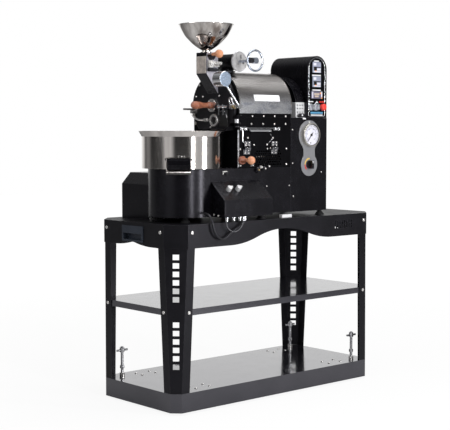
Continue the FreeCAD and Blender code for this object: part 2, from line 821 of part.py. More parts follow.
def make_feet():
    """Rubber feet between the machine and the table."""
    solids = []
    for x in (bin_x - 60, -60, 298):
        for side in (-1, 1):
            y = axis_y + side * (body_half_width - (52 if x < bin_x else 22))
            cone = Part.makeCone(foot_radius, foot_radius * 0.45, foot_height - 5, Vector(x, y, up(0)))
            stem = rod((x, y, up(foot_height) - 6), (x, y, up(foot_height)), foot_radius * 0.45)
            solids.append(fuse([cone, stem]))
    add("machine_feet", *solids)


def fan_centre():
    return (fan_box_left_x + fan_box_right_x) / 2 + 10, fan_box_top_z / 2 + stand_height


def make_fan_box():
    y = (body_rear_y + seat_gap, fan_box_rear_y)
    outline = [(fan_box_left_x, up(0)), (fan_box_left_x, up(fan_box_front_z)),
               (fan_box_left_x + fan_box_slope, up(fan_box_top_z)), (fan_box_right_x, up(fan_box_top_z)),
               (fan_box_right_x, up(0))]
    solid = prism_y(outline, y)
    solid = rounded(solid, 2.5, lambda e: runs_along(e, "y") and e.CenterOfMass.z > up(1))
    t = base_sheet
    slope = math.hypot(fan_box_slope, fan_box_top_z - fan_box_front_z)
    shift = t * (slope - fan_box_slope) / (fan_box_top_z - fan_box_front_z)
    inner = [(fan_box_left_x + t, up(0) + t), (fan_box_left_x + t, up(fan_box_front_z) - shift),
             (fan_box_left_x + fan_box_slope + shift * 0.5, up(fan_box_top_z) - t),
             (fan_box_right_x - t, up(fan_box_top_z) - t), (fan_box_right_x - t, up(0) + t)]
    solid = solid.cut(prism_y(inner, (y[0] - 1, y[1] - t)))
    x, z = fan_centre()
    pipe = ring((x, y[1] - t, z), (x, y[1] + 14, z), outlet_pipe_radius, outlet_pipe_radius - 2)
    motor_post = block((x - 30, x + 30), (y[1] - 55, y[1] - 45), (up(0) + t, z - 20))
    hole = rod((x, y[1] - t - 1, z), (x, y[1] + 15, z), outlet_pipe_radius - 2)
    motor = rod((x, y[1] - 58, z), (x, y[1] - 40, z), 34)
    shaft_hole = rod((x, y[1] - 60, z), (x, y[1] - 38, z), 6 + running_fit)
    add("fan_box", fuse([solid, pipe]).cut(hole), fuse([motor_post, motor]).cut(shaft_hole))
    fan_y = (y[1] - 100, y[1] - 60)
    blades = [rod((x, fan_y[1] - 3, z), (x, fan_y[1], z), fan_radius), rod((x, fan_y[0], z), (x, fan_y[1], z), 14),
              rod((x, fan_y[1], z), (x, fan_y[1] + 20, z), 6)]
    for i in range(10):
        blade = block((16, fan_radius), (0, fan_y[1] - fan_y[0] - 3), (-1, 1))
        blade.rotate(Vector(0, 0, 0), Vector(0, 1, 0), 36 * i)
        blade.translate(Vector(x, fan_y[0], z))
        blades.append(blade)
    hub = rod((x, fan_y[0], z), (x, fan_y[1], z), 17)
    add("fan_impeller", fuse(blades + [hub]))


def slope_point(y):
    """Point and outward normal on the sloped face of the control box."""
    run, rise = body_front_y - box_front_y, box_back_z - box_front_z
    z = box_front_z + (y - box_front_y) * rise / run
    length = math.hypot(run, rise)
    return up(z), Vector(0, -rise / length, run / length)


def make_control_box():
    x = (box_left_x, box_right_x)
    back = body_front_y - seat_gap
    outline = [(box_front_y, up(box_low_z)), (box_front_y, up(box_front_z)), (back, up(box_back_z)),
               (back, up(box_low_z))]
    solid = prism_x(outline, x)
    solid = rounded(solid, 2, lambda e: e.CenterOfMass.y < back - 1)
    t = box_sheet
    inner = [(box_front_y + t, up(box_low_z) + t), (box_front_y + t, up(box_front_z) - 1),
             (back - 1, up(box_back_z) - 1 - 1.6 * t), (back + 1, up(box_back_z) - 1 - 1.6 * t),
             (back + 1, up(box_low_z) + t)]
    solid = solid.cut(prism_x(inner, (x[0] + t, x[1] - t)))
    tools = []
    for knob_x in box_knob_x:
        z, n = slope_point(box_knob_y)
        p = Vector(knob_x, box_knob_y, z)
        tools.append(rod(p + n * 5, p - n * 12, 4 + cord_gap))
    add("control_box", cut(solid, tools))
    for name, knob_x in zip(("box_knob_left", "box_knob_right"), box_knob_x):
        z, n = slope_point(box_knob_y)
        p = Vector(knob_x, box_knob_y, z)
        cap = rod(p + n * seat_gap, p + n * box_knob_height, box_knob_radius)
        cap = cap.makeFillet(1.5, [e for e in cap.Edges if e.Curve.TypeId == "Part::GeomCircle"])
        stem = rod(p + n, p - n * 10, 4)
        grip = Part.makeBox(26, 7, 9, Vector(-13, -3.5, 0))
        grip.Placement = FreeCAD.Placement(p + n * (box_knob_height - 6), FreeCAD.Rotation(Vector(0, 0, 1), n))
        add(name, fuse([cap, stem, grip]))


def tube_route(points, radius):
    """Tube of straight runs joined by tangent arcs."""
    p = [Vector(*q) for q in points]
    edges, here, radii = [], p[0], []
    for a, b, c in zip(p, p[1:], p[2:]):
        u, v = (b - a).normalize(), (c - b).normalize()
        turn = u.getAngle(v)
        run = min((b - a).Length, (c - b).Length)
        back = 0.45 * run
        bend = back / math.tan(turn / 2)
        radii.append(bend)
        start, end = b - u * back, b + v * back
        middle_dir = (v - u).normalize()
        middle = b + middle_dir * (math.hypot(bend, back) - bend)
        edges.append(Part.LineSegment(here, start).toShape())
        edges.append(Part.Arc(start, middle, end).toShape())
        here = end
    edges.append(Part.LineSegment(here, p[-1]).toShape())
    wire = Part.Wire(edges)
    section = Part.Wire([Part.Circle(p[0], p[1] - p[0], radius).toShape()])
    tube = wire.makePipeShell([section], True, False)
    ideal = math.pi * radius ** 2 * wire.Length
    print("tube length %.1f, smallest bend %.1f, volume ratio %.4f"
          % (wire.Length, min(radii), tube.Volume / ideal))
    return tube


def above_table(points):
    return [(x, y, up(z)) for x, y, z in points]


def make_cords():
    low = up(box_low_z)
    solids = []
    for x in connector_x:
        body = rod((x, connector_y, low), (x, connector_y, low - connector_length), connector_radius)
        nut = rod((x, connector_y, low), (x, connector_y, low - connector_nut_height),
                  connector_radius + connector_nut)
        solids.append(fuse([body, nut]))
    for end, radius in ((cable_points[-1], cable_radius), (lead_points[-1], lead_radius)):
        solids.append(rod((end[0], end[1], low), (end[0], end[1], up(end[2])), radius + connector_nut))
    first = cable_points[0]
    solids.append(rod((first[0], body_front_y + 6, up(first[2])), (first[0], first[1], up(first[2])),
                      cable_radius + 0.8))
    solids.append(block(plug_x, plug_y, (up(0), up(plug_height))))
    add("box_connectors", *solids)
    add("main_cable", tube_route(above_table(cable_points), cable_radius))
    add("box_lead", tube_route(above_table(lead_points), lead_radius))


def make_tower():
    x, y, z = (housing_rear_x + seat_gap, tower_right_x), (body_front_y, body_rear_y), (up(foot_height), up(tower_height))
    t = tower_sheet
    solid = rounded(block(x, y, z), 2, lambda e: runs_along(e, "z") and e.CenterOfMass.x > x[1] - 1)
    solid = solid.cut(block((x[0] + t, x[1] - t), (y[0] + t, y[1] - t), (z[0] + t, z[1] - t)))
    tools = [block((pulley_x - pulley_width / 2 - 3, pulley_x + pulley_width / 2 + 3),
                   (axis_y - tower_slot_half, axis_y + tower_slot_half), (z[1] - 10, z[1] + 10)),
             rod((gauge_x, y[0] - 5, up(gauge_z)), (gauge_x, y[0] + 5, up(gauge_z)), 20),
             rod((gauge_x, y[0] - 5, up(gas_knob_z)), (gauge_x, y[0] + 5, up(gas_knob_z)), 9),
             rod((250, arch_front_y + 120, z[1] - 10), (250, arch_front_y + 120, z[1] + 10), 20)]
    bearing = block((guard_right_x - 22, guard_right_x - 6), (axis_y - 30, axis_y + 30), (up(tower_height), up(axis_z) + 26))
    bearing = bearing.cut(rod((pulley_x, axis_y, up(axis_z)), (pulley_x + 80, axis_y, up(axis_z)),
                              shaft_radius + running_fit))
    add("control_tower", cut(solid, tools), bearing)


# ---------------------------------------------------------------- cooling bin
def make_bin():
    low = up(base_height)
    r, t = bin_radius, bin_sheet
    top, rim = low + bin_depth, low + bin_depth + bin_rim_rise
    k = t * 0.7
    profile = [Vector(r, 0, low + t), Vector(r, 0, top), Vector(bin_rim_radius, 0, rim),
               Vector(bin_rim_radius - t, 0, rim + k), Vector(r - t, 0, top + k), Vector(r - t, 0, low + t)]
    shell = Part.Face(Part.makePolygon(profile + [profile[0]])).revolve(Vector(0, 0, 0), Vector(0, 0, 1), 360)
    shell.translate(Vector(bin_x, axis_y, 0))
    tools = air_holes((low - 5, low + 5))
    tools.append(rod((bin_x, axis_y, low - 5), (bin_x, axis_y, low + 5), stirrer_shaft_radius + 2))
    floor = cut(rod((bin_x, axis_y, low), (bin_x, axis_y, low + t), r), tools)
    window = block((r - 20, r + 20), (-outlet_width / 2 + 8, outlet_width / 2 - 8),
                   (up(outlet_high) - flap_height, up(outlet_high) - 3))
    screen_z = low + bin_screen_lift
    ledge = ring((bin_x, axis_y, screen_z - 3), (bin_x, axis_y, screen_z - seat_gap), r - t, r - t - bin_ledge)
    wall = fuse([shell.cut(at_outlet(window)), ledge])
    add("cooling_bin", floor, wall, at_outlet(make_outlet_frame()))
    make_screen(low + bin_screen_lift)
    make_flap()
    make_stirrer(low)


def at_outlet(shape):
    """Turn a shape that is modelled along +X to the bean outlet of the bin."""
    placed = shape.copy()
    placed.rotate(Vector(0, 0, 0), Vector(0, 0, 1), outlet_angle)
    placed.translate(Vector(bin_x, axis_y, 0))
    return placed


def make_outlet_frame():
    half, cheek = outlet_width / 2, 2.0
    start = bin_radius - 12
    x, z = (start, outlet_reach), (up(outlet_low), up(outlet_high))
    side = [block(x, sorted((s * (half - cheek), s * half)), z) for s in (-1, 1)]
    roof = block(x, (-half, half), (z[1] - 2, z[1]))
    front = block((outlet_reach - 2, outlet_reach), (-half, half), (z[0], z[0] + 8))
    floor = prism([(start, -half, up(outlet_high) - flap_height - 4), (start, -half, up(outlet_high) - flap_height - 2),
                   (outlet_reach, -half, z[0] + 2), (outlet_reach, -half, z[0])], (0, outlet_width, 0))
    pin_x, pin_z = outlet_reach - flap_pin_inset, z[1] - flap_pin_drop
    lobes = [rod((pin_x, s * half, pin_z), (pin_x, s * (half - cheek), pin_z), outlet_lobe_radius) for s in (-1, 1)]
    frame = fuse(side + [roof, front, floor] + lobes)
    trim = rod((0, 0, z[0] - 1), (0, 0, z[1] + 1), bin_radius + seat_gap)
    pin = rod((pin_x, -half - 1, pin_z), (pin_x, half + 1, pin_z), flap_pin_radius + running_fit)
    return frame.cut(trim).cut(pin)


def make_flap():
    half = outlet_width / 2 - 2 - seat_gap
    pin_x = outlet_reach - flap_pin_inset
    z = up(outlet_high) - flap_pin_drop
    plate = block((pin_x - flap_sheet / 2, pin_x + flap_sheet / 2), (-half, half), (z - flap_height + 3, z))
    barrel = rod((pin_x, -half, z), (pin_x, half, z), flap_pin_radius + 1)
    pin = rod((pin_x, -half - flap_knob_reach, z), (pin_x, half + flap_knob_reach, z), flap_pin_radius)
    knobs = [rod((pin_x, s * (outlet_width / 2 + seat_gap), z), (pin_x, s * (half + flap_knob_reach), z),
                 flap_knob_radius) for s in (-1, 1)]
    add("bin_flap", at_outlet(fuse([plate, barrel, pin] + knobs)))


def make_screen(z):
    radius = bin_radius - bin_sheet - seat_gap
    disc = rod((bin_x, axis_y, z), (bin_x, axis_y, z + screen_sheet), radius)
    through = (z - 1, z + screen_sheet + 1)
    tools = [rod((bin_x, axis_y, through[0]), (bin_x, axis_y, through[1]), stirrer_shaft_radius + 1)]
    steps = int(radius // screen_hole_pitch)
    for i in range(-steps, steps + 1):
        for j in range(-steps, steps + 1):
            x = (i + 0.5 * (j % 2)) * screen_hole_pitch
            y = j * screen_hole_pitch * math.sqrt(3) / 2
            if screen_hub < math.hypot(x, y) < radius - screen_edge:
                tools.append(rod((bin_x + x, axis_y + y, through[0]), (bin_x + x, axis_y + y, through[1]),
                                 screen_hole_radius))
    add("bin_screen", cut(disc, tools))


def make_stirrer(low):
    z = low + bin_screen_lift + screen_sheet
    shaft = rod((bin_x, axis_y, low - stirrer_tail), (bin_x, axis_y, z + stirrer_height), stirrer_shaft_radius)
    hub = rod((bin_x, axis_y, z + 20), (bin_x, axis_y, z + stirrer_height - 6), stirrer_hub_radius)
    cap = turned([(0, 16), (6, 15), (12, 8)], (bin_x, axis_y, z + stirrer_height - 2), (0, 0, 1))
    pieces = [shaft, hub, cap]
    for i in range(4):
        reach = bin_radius - stirrer_wall_gap - 6 * (i % 2)
        arm = block((14, reach), (-stirrer_arm / 2, stirrer_arm / 2),
                    (z + stirrer_blade_height, z + stirrer_blade_height + stirrer_arm))
        blade = block((46, reach), (-stirrer_blade / 2, stirrer_blade / 2),
                      (z + stirrer_screen_gap, z + stirrer_blade_height))
        blade.rotate(Vector(reach / 2, 0, 0), Vector(0, 0, 1), stirrer_blade_turn)
        brace_z = (z + 20, z + stirrer_blade_height + stirrer_arm / 2)
        blade = blade.fuse(block((60, 66), (-stirrer_arm / 2, stirrer_arm / 2), brace_z)).fuse(
            block((reach - 40, reach - 34), (-7, 7), brace_z))
        piece = arm.fuse(blade)
        piece.rotate(Vector(0, 0, 0), Vector(0, 0, 1), 90 * i + stirrer_rest_turn)
        piece.translate(Vector(bin_x, axis_y, 0))
        pieces.append(piece)
    add("stirrer", fuse(pieces))


# ---------------------------------------------------------------- drum housing
def end_wall(x, hole_radius):
    """End of the drum housing, up into the cover, with a round hole on the drum's axis."""
    inside = body_half_width - wall_sheet
    high = cover_low_z - seat_gap
    wall = half_round(cover_radius - cover_sheet - seat_gap, x, high).fuse(
        block(x, (axis_y - inside, axis_y + inside), (up(base_height) + wall_sheet, up(high))))
    return wall.cut(rod((x[0] - 1, axis_y, up(axis_z)), (x[1] + 1, axis_y, up(axis_z)), hole_radius))


def mesh_holes(y):
    """Six-sided air holes in the front wall."""
    row_pitch = mesh_pitch * math.sqrt(3) / 2
    tools = []
    for row in range(int((mesh_z[1] - mesh_z[0]) / row_pitch)):
        for column in range(int((mesh_x[1] - mesh_x[0]) / mesh_pitch) - row % 2):
            cx = mesh_x[0] + mesh_pitch * (column + 0.5 + 0.5 * (row % 2))
            cz = up(mesh_z[0]) + row_pitch * (row + 0.5)
            hexagon = [(cx + mesh_hole * math.sin(math.radians(60 * k)),
                        cz + mesh_hole * math.cos(math.radians(60 * k))) for k in range(6)]
            tools.append(prism_y(hexagon, y))
    return tools


def make_housing():
    """Walls round the burners and the drum, open at the top for the cover."""
    t = wall_sheet
    x, y = (face_x, housing_rear_x), (body_front_y, body_rear_y)
    low, high = up(base_height), up(cover_low_z) - seat_gap
    window_x = (door_left_x + door_lap, door_right_x - door_lap)
    window_z = (up(burner_door_low) + door_lap, up(burner_door_high) - door_lap)
    front, through = (y[0], y[0] + t), (y[0] - 1, y[0] + t + 1)
    airflow_hole = rod((airflow_x, through[0], up(airflow_z)), (airflow_x, through[1], up(airflow_z)),
                       airflow_stem_radius + cord_gap)
    lower_front = cut(block(x, front, (low + t, window_z[0])), mesh_holes(through) + [airflow_hole])
    walls = [block(x, y, (low, low + t)), block(x, (y[1] - t, y[1]), (low + t, high)), lower_front,
             block((x[0], window_x[0]), front, (window_z[0], high)),
             block((window_x[1], x[1]), front, (window_z[0], high)),
             block(window_x, front, (window_z[1], high)), end_wall((x[1] - t, x[1]), shaft_radius + bearing_clear)]
    left_x = (x[0], x[0] + t)
    walls += sectors(end_wall(left_x, drum_radius + drum_clear), (axis_y, up(axis_z)), prism_x, left_x,
                     end_wall_parts)
    bearing = block((x[1], x[1] + bearing_length), (axis_y - bearing_half, axis_y + bearing_half),
                    (up(axis_z) - bearing_half, up(axis_z) + bearing_half))
    bearing = bearing.cut(rod((x[0], axis_y, up(axis_z)), (pulley_x, axis_y, up(axis_z)), shaft_radius + running_fit))
    add("burner_housing", *walls, bearing, *make_chute(), make_plate_hinge(), *make_door_leaves())


def make_chute():
    """Spout under the face plate that carries the beans over the rim of the bin."""
    rim = up(base_height + bin_depth + bin_rim_rise)
    t = chute_sheet
    over = bin_x + bin_rim_radius * math.cos(math.radians(chute_rim_angle))
    end, end_z = over - chute_run, rim - chute_drop
    root_z, over_z = rim + 3 * t, rim + 1.6 * t
    floor = prism_y([(face_x, root_z), (over, over_z), (over, over_z - t), (face_x, root_z - t)],
                    (chute_near_y, chute_far_y))
    spout = prism_y([(over, over_z), (end, end_z), (end, end_z - t), (over, over_z - t)],
                    (chute_near_y, chute_far_y))
    pieces = [floor, spout]
    ear_x, ear_z = face_x - chute_ear_reach, rim + chute_ear_height
    fall = (ear_z - end_z - chute_side) / (ear_x - end)
    brow_z = ear_z - (ear_x - over) * fall
    low_z = up(plate_flat_z) - 2 * seat_gap
    near = [(face_x, root_z), (face_x, ear_z), (ear_x, ear_z), (over, brow_z), (over, over_z)]
    far = [(face_x, root_z), (face_x, low_z), (over, brow_z), (over, over_z)]
    tip = [(over, over_z), (over, brow_z), (end, end_z + chute_side), (end, end_z)]
    for y, back in (((chute_near_y, chute_near_y + t), near), ((chute_far_y - t, chute_far_y), far)):
        pieces += [prism_y(back, y), prism_y(tip, y)]
    return pieces


def make_burner_door():
    y = body_front_y - seat_gap
    t = door_sheet
    x, z = (door_left_x, door_right_x), (up(burner_door_low), up(burner_door_high))
    plate = block(x, (y - t, y), z)
    boss = prism_y([(px, z[1] - drop) for px, drop in door_boss], (y - 2 * t, y - t))
    bar_y, bar_z = y - door_bar_reach, z[1] - door_bar_drop
    bar = rod((door_bar_x[0], bar_y, bar_z), (door_bar_x[1], bar_y, bar_z), door_bar_radius)
    posts = [rod((px, bar_y, bar_z), (px, y - t, bar_z), door_post_radius)
             for px in (door_bar_x[0] + door_post_inset, door_bar_x[1] - door_post_inset)]
    pieces = [plate, boss, bar] + posts
    pin_y, pin_z = y - door_pin_reach, up(burner_hinge_z)
    for px in burner_hinge_x:
        leaf_x = (px - door_leaf_half, min(px + door_leaf_half, door_right_x - 2))
        pieces.append(block(leaf_x, (y - 2 * t, y - t), (z[0] + 4, z[0] + door_leaf_height)))
        pieces.append(block((px - door_knuckle, px + door_knuckle), (y - 3 * t, y - t), (pin_z, z[0] + 8)))
        pieces.append(rod((px - door_knuckle, pin_y, pin_z), (px + door_knuckle, pin_y, pin_z), 5))
        pieces.append(rod((px - door_leaf_half + 1, pin_y, pin_z), (px + door_leaf_half - 1, pin_y, pin_z),
                          burner_hinge_pin))
    add("burner_door", fuse(pieces))


def make_door_leaves():
    """Hinge leaves of the burner door that stay on the housing."""
    y = body_front_y - seat_gap
    pin_y, pin_z = y - door_pin_reach, up(burner_hinge_z)
    leaves = []
    for px in burner_hinge_x:
        base = block((px - door_leaf_half, px + door_leaf_half), (body_front_y - door_sheet, body_front_y),
                     (pin_z - door_leaf_height, pin_z - 4))
        ears = []
        for s in (-1, 1):
            ear_x = sorted((px + s * (door_knuckle + 0.4), px + s * (door_leaf_half - 2)))
            ears.append(block(ear_x, (y - 3 * door_sheet, y - door_sheet + seat_gap), (pin_z - 10, pin_z - 1)))
            ears.append(rod((ear_x[0], pin_y, pin_z), (ear_x[1], pin_y, pin_z), 4.2))
        hole = rod((px - door_leaf_half - 1, pin_y, pin_z), (px + door_leaf_half + 1, pin_y, pin_z),
                   burner_hinge_pin + running_fit)
        leaves.append(fuse([base] + ears).cut(hole))
    return leaves


def make_burners():
    z = up(base_height + burner_lift)
    floor = up(base_height) + wall_sheet
    half = burner_pitch + 20
    pipe_x, manifold_x = (face_x + 24, 60), (60, 80)
    pipes = [ring((pipe_x[0], axis_y + side * burner_pitch, z), (pipe_x[1], axis_y + side * burner_pitch, z),
                  burner_radius, burner_radius - burner_wall) for side in (-1, 0, 1)]
    block_z = (z - burner_radius - 3, z + burner_radius + 3)
    manifold = block(manifold_x, (axis_y - half, axis_y + half), block_z)
    post = block((manifold_x[0] + 2, manifold_x[1] - 2), (axis_y - 10, axis_y + 10), (floor, block_z[0]))
    rack = block((pipe_x[0] + 6, pipe_x[0] + 12), (axis_y - half, axis_y + half), (floor, z - burner_radius))
    add("burner_tubes", *pipes, fuse([manifold, post]), rack)


def make_airflow_knob():
    """Wooden pull of the air flap."""
    x, z = airflow_x, up(airflow_z)
    start = body_front_y - seat_gap
    stem = rod((x, start + airflow_tail, z), (x, start - airflow_length, z), airflow_stem_radius)
    collar = rod((x, start, z), (x, start - airflow_collar[1], z), airflow_collar[0])
    ball = Part.makeSphere(ball_radius, Vector(x, start - airflow_length, z))
    throat = turned([(0, 13), (14, 10), (26, 7), (40, 11)], (x, start - airflow_collar[1], z), (0, -1, 0))
    add("airflow_knob", fuse([stem, collar, ball, throat]))


# ---------------------------------------------------------------- drum and drive
def make_drum():
    x0 = face_x + drum_front_gap
    x1 = x0 + drum_length
    z = up(axis_z)
    shell = ring((x0, axis_y, z), (x1, axis_y, z), drum_radius, drum_radius - drum_sheet)
    back = rod((x1 - 4, axis_y, z), (x1, axis_y, z), drum_radius - 1)
    lip = ring((x0, axis_y, z), (x0 + 3, axis_y, z), drum_radius - 1, drum_radius - 14)
    pieces = [shell, back, lip]
    for i in range(4):
        vane = block((x0 + 6, x1 - 6), (-1.5, 1.5), (drum_radius - 34, drum_radius - 1))
        vane.rotate(Vector(0, 0, 0), Vector(1, 0, 0), 90 * i + 20)
        vane.translate(Vector(0, axis_y, z))
        pieces.append(vane)
    shaft = rod((x1 - 40, axis_y, z), (guard_right_x - 5, axis_y, z), shaft_radius)
    flange = rod((x1, axis_y, z), (x1 + 8, axis_y, z), 26)
    half = pulley_width / 2
    wheel = rod((pulley_x - half + 3, axis_y, z), (pulley_x + half - 3, axis_y, z), pulley_radius)
    rims = [rod((pulley_x + s, axis_y, z), (pulley_x + s + 3, axis_y, z), pulley_radius + 6) for s in (-half, half - 3)]
    lighten = []
    for i in range(6):
        a = math.radians(60 * i)
        cy, cz = axis_y + 54 * math.cos(a), z + 54 * math.sin(a)
        lighten.append(rod((pulley_x - 20, cy, cz), (pulley_x + 20, cy, cz), 18))
    pulley = cut(fuse([wheel] + rims), lighten)
    add("drum", fuse(pieces + [shaft, flange, pulley]))


def make_drive():
    z, mz = up(axis_z), up(motor_z)
    r1, r2 = pulley_radius + seat_gap, motor_pulley_radius + seat_gap
    x = (pulley_x - belt_width / 2, pulley_x + belt_width / 2)
    distance = z - mz
    tilt = math.asin((r1 - r2) / distance)

    def loop(grow):
        a, b = r1 + grow, r2 + grow
        c, s = math.cos(tilt), math.sin(tilt)
        def p(side, centre_z, r):
            return Vector(x[0], axis_y + side * r * c, centre_z - r * s)
        top = Part.Arc(p(-1, z, a), Vector(x[0], axis_y, z + a), p(1, z, a)).toShape()
        bottom = Part.Arc(p(1, mz, b), Vector(x[0], axis_y, mz - b), p(-1, mz, b)).toShape()
        edges = [top, Part.LineSegment(p(1, z, a), p(1, mz, b)).toShape(), bottom,
                 Part.LineSegment(p(-1, mz, b), p(-1, z, a)).toShape()]
        return Part.Face(Part.Wire(edges)).extrude(Vector(belt_width, 0, 0))

    add("drive_belt", loop(belt_sheet).cut(loop(0)))
    half = pulley_width / 2
    wheel = rod((pulley_x - half + 3, axis_y, mz), (pulley_x + half - 3, axis_y, mz), motor_pulley_radius)
    rims = [rod((pulley_x + s, axis_y, mz), (pulley_x + s + 3, axis_y, mz), motor_pulley_radius + 6)
            for s in (-half, half - 3)]
    stub = rod((pulley_x, axis_y, mz), (pulley_x + 40, axis_y, mz), 9)
    add("motor_pulley", fuse([wheel, stub] + rims))

    motor_x = pulley_x + half + 6
    motor = fuse([block((motor_x, motor_x + 50), (axis_y - 45, axis_y + 45), (mz - 45, mz + 45)),
                  rod((motor_x + 50, axis_y, mz), (motor_x + 138, axis_y, mz), 42)])
    motor = motor.cut(rod((motor_x - 1, axis_y, mz), (pulley_x + 45, axis_y, mz), 9 + running_fit))
    floor = up(foot_height) + tower_sheet
    foot = block((motor_x + 4, motor_x + 46), (axis_y - 30, axis_y + 30), (floor, mz - 45))
    beam = block((motor_x - 20, motor_x + 90), (axis_y - 50, axis_y + 50), (floor, floor + 4))
    low = up(base_height) - base_sheet
    stirrer_motor = fuse([rod((bin_x, axis_y, low - 60), (bin_x, axis_y, low), 44),
                          rod((bin_x, axis_y, low - 150), (bin_x, axis_y, low - 60), 36)])
    stirrer_motor = stirrer_motor.cut(rod((bin_x, axis_y, low - 50), (bin_x, axis_y, low + 10),
                                          stirrer_shaft_radius + running_fit))
    add("drive_motors", fuse([motor, foot, beam]), stirrer_motor)


def half_round(radius, x, low_z):
    """Solid half cylinder with straight sides down to a height above the table."""
    z = up(axis_z)
    solid = rod((x[0], axis_y, z), (x[1], axis_y, z), radius).fuse(
        block(x, (axis_y - radius, axis_y + radius), (z - 2 * radius, z)))
    return solid.cut(block((x[0] - 1, x[1] + 1), (axis_y - radius - 1, axis_y + radius + 1),
                           (z - 3 * radius, up(low_z))))


def shell_over(radius, sheet, x, low_z):
    """Half-round sheet with straight sides, open below."""
    return half_round(radius, x, low_z).cut(half_round(radius - sheet, (x[0] - 1, x[1] + 1), low_z - 1))


def make_cover():
    x = (cover_left_x, housing_rear_x + 1)
    cover = shell_over(cover_radius, cover_sheet, x, cover_low_z)
    riser = rod((duct_x, axis_y, up(axis_z)), (duct_x, axis_y, up(duct_z)), riser_radius + 0.6)
    add("drum_cover", cover.cut(riser))


def make_guard():
    x = (guard_left_x, guard_right_x)
    guard = shell_over(guard_radius, guard_sheet, x, tower_height)
    tools = []
    z = up(axis_z)
    reach = (guard_radius - guard_hole_pitch, guard_radius + guard_hole_pitch)
    columns = [x[0] + (guard_right_x - guard_left_x - 2 * guard_hole_pitch) / 2 + k * guard_hole_pitch
               for k in range(guard_hole_columns)]
    for hole_x in columns:
        for i in range(-guard_hole_rows, guard_hole_rows + 1):
            tool = rod((hole_x, 0, reach[0]), (hole_x, 0, reach[1]), guard_hole_radius)
            tool.rotate(Vector(0, 0, 0), Vector(1, 0, 0), i * guard_hole_angle)
            tool.translate(Vector(0, axis_y, z))
            tools.append(tool)
        for side in (-1, 1):
            for row in range(guard_side_rows):
                hole_z = up(tower_height) + guard_hole_pitch * (row + 0.5)
                tools.append(rod((hole_x, axis_y + side * reach[0], hole_z),
                                 (hole_x, axis_y + side * reach[1], hole_z), guard_hole_radius))
    sides = []
    inside = guard_radius - guard_sheet - seat_gap
    for low in (x[0] + seat_gap, x[1] - guard_sheet - seat_gap):
        wall = half_round(inside, (low, low + guard_sheet), tower_height)
        sides.append(wall.cut(rod((low - 1, axis_y, z), (low + 5, axis_y, z), shaft_radius + 3)))
    add("drive_guard", cut(guard, tools), *sides)


# ---------------------------------------------------------------- face plate
def make_face_plate():
    x = (face_x - seat_gap - plate_thickness, face_x - seat_gap)
    through = (x[0] - 1, x[1] + 1)
    z = up(axis_z)
    plate = rod((x[0], axis_y, z), (x[1], axis_y, z), plate_radius)
    plate = plate.makeFillet(plate_round, rims_at(plate, "x", x[0]))
    plate = plate.cut(block(through, (axis_y - plate_radius - 1, axis_y + plate_radius + 1),
                            (up(plate_flat_z) - plate_radius, up(plate_flat_z))))
    pivot_z = up(door_pivot_z)
    lugs = []
    for y in door_lugs():
        lug = block((door_pivot_x - door_lug_back, x[0] + door_lug_foot), y,
                    (pivot_z - door_eye_radius, pivot_z + door_eye_radius))
        nose = rod((door_pivot_x, y[0], pivot_z), (door_pivot_x, y[1], pivot_z), door_eye_radius)
        lugs.append(lug.fuse(nose))
    low, high = hinge_thirds()[1]
    leaf = [rod((hinge_x, hinge_y, low), (hinge_x, hinge_y, high), hinge_radius),
            block((x[0] + 1, hinge_x + hinge_leaf), (hinge_y, axis_y - plate_radius + hinge_leaf_reach), (low, high))]
    body = fuse([plate] + lugs + leaf)
    passage_y = (axis_y - inlet_half, axis_y + inlet_half)
    passage_z = (up(neck_low_z) + inlet_edge, up(neck_bend_z) - inlet_edge)
    door_z = up(door_low_z) + door_opening_lift
    tools = [rod((hinge_x, hinge_y, up(hinge_low_z) - 1), (hinge_x, hinge_y, up(hinge_high_z) + 1),
                 hinge_pin_radius + running_fit),
             rod((door_pivot_x, door_shaft_rear + 4, pivot_z), (door_pivot_x, hinge_y - hinge_radius, pivot_z),
                 door_shaft_radius + running_fit),
             block(through, (door_y - door_opening / 2, door_y + door_opening / 2), (door_z, door_z + door_opening)),
             rod((through[0], trier_y, up(trier_z)), (through[1], trier_y, up(trier_z)), trier_radius + running_fit),
             rod((through[0], sight_y, up(sight_z)), (through[1], sight_y, up(sight_z)), sight_glass_radius)]
    add("face_plate", *around(cut(body, tools), passage_y, passage_z))


def hinge_thirds():
    """Low and high end of the three knuckles."""
    third = (hinge_high_z - hinge_low_z - 2 * seat_gap) / 3
    return [(up(hinge_low_z) + i * (third + seat_gap), up(hinge_low_z) + i * (third + seat_gap) + third)
            for i in range(3)]


def make_plate_hinge():
    """Knuckles and pin of the face plate's hinge that stay on the housing."""
    pieces = [rod((hinge_x, hinge_y, up(hinge_low_z)), (hinge_x, hinge_y, up(hinge_high_z)), hinge_pin_radius)]
    for low, high in hinge_thirds()[::2]:
        pieces.append(rod((hinge_x, hinge_y, low), (hinge_x, hinge_y, high), hinge_radius))
        pieces.append(block((hinge_x, face_x + 40), (body_front_y - 3, body_front_y), (low, high)))
        pieces.append(block((hinge_x - 2, hinge_x + 6), (hinge_y, body_front_y - 1), (low, high)))
    return fuse(pieces)


def door_lugs():
    return ((-124.0, -116.0), (-206.0, -196.0))


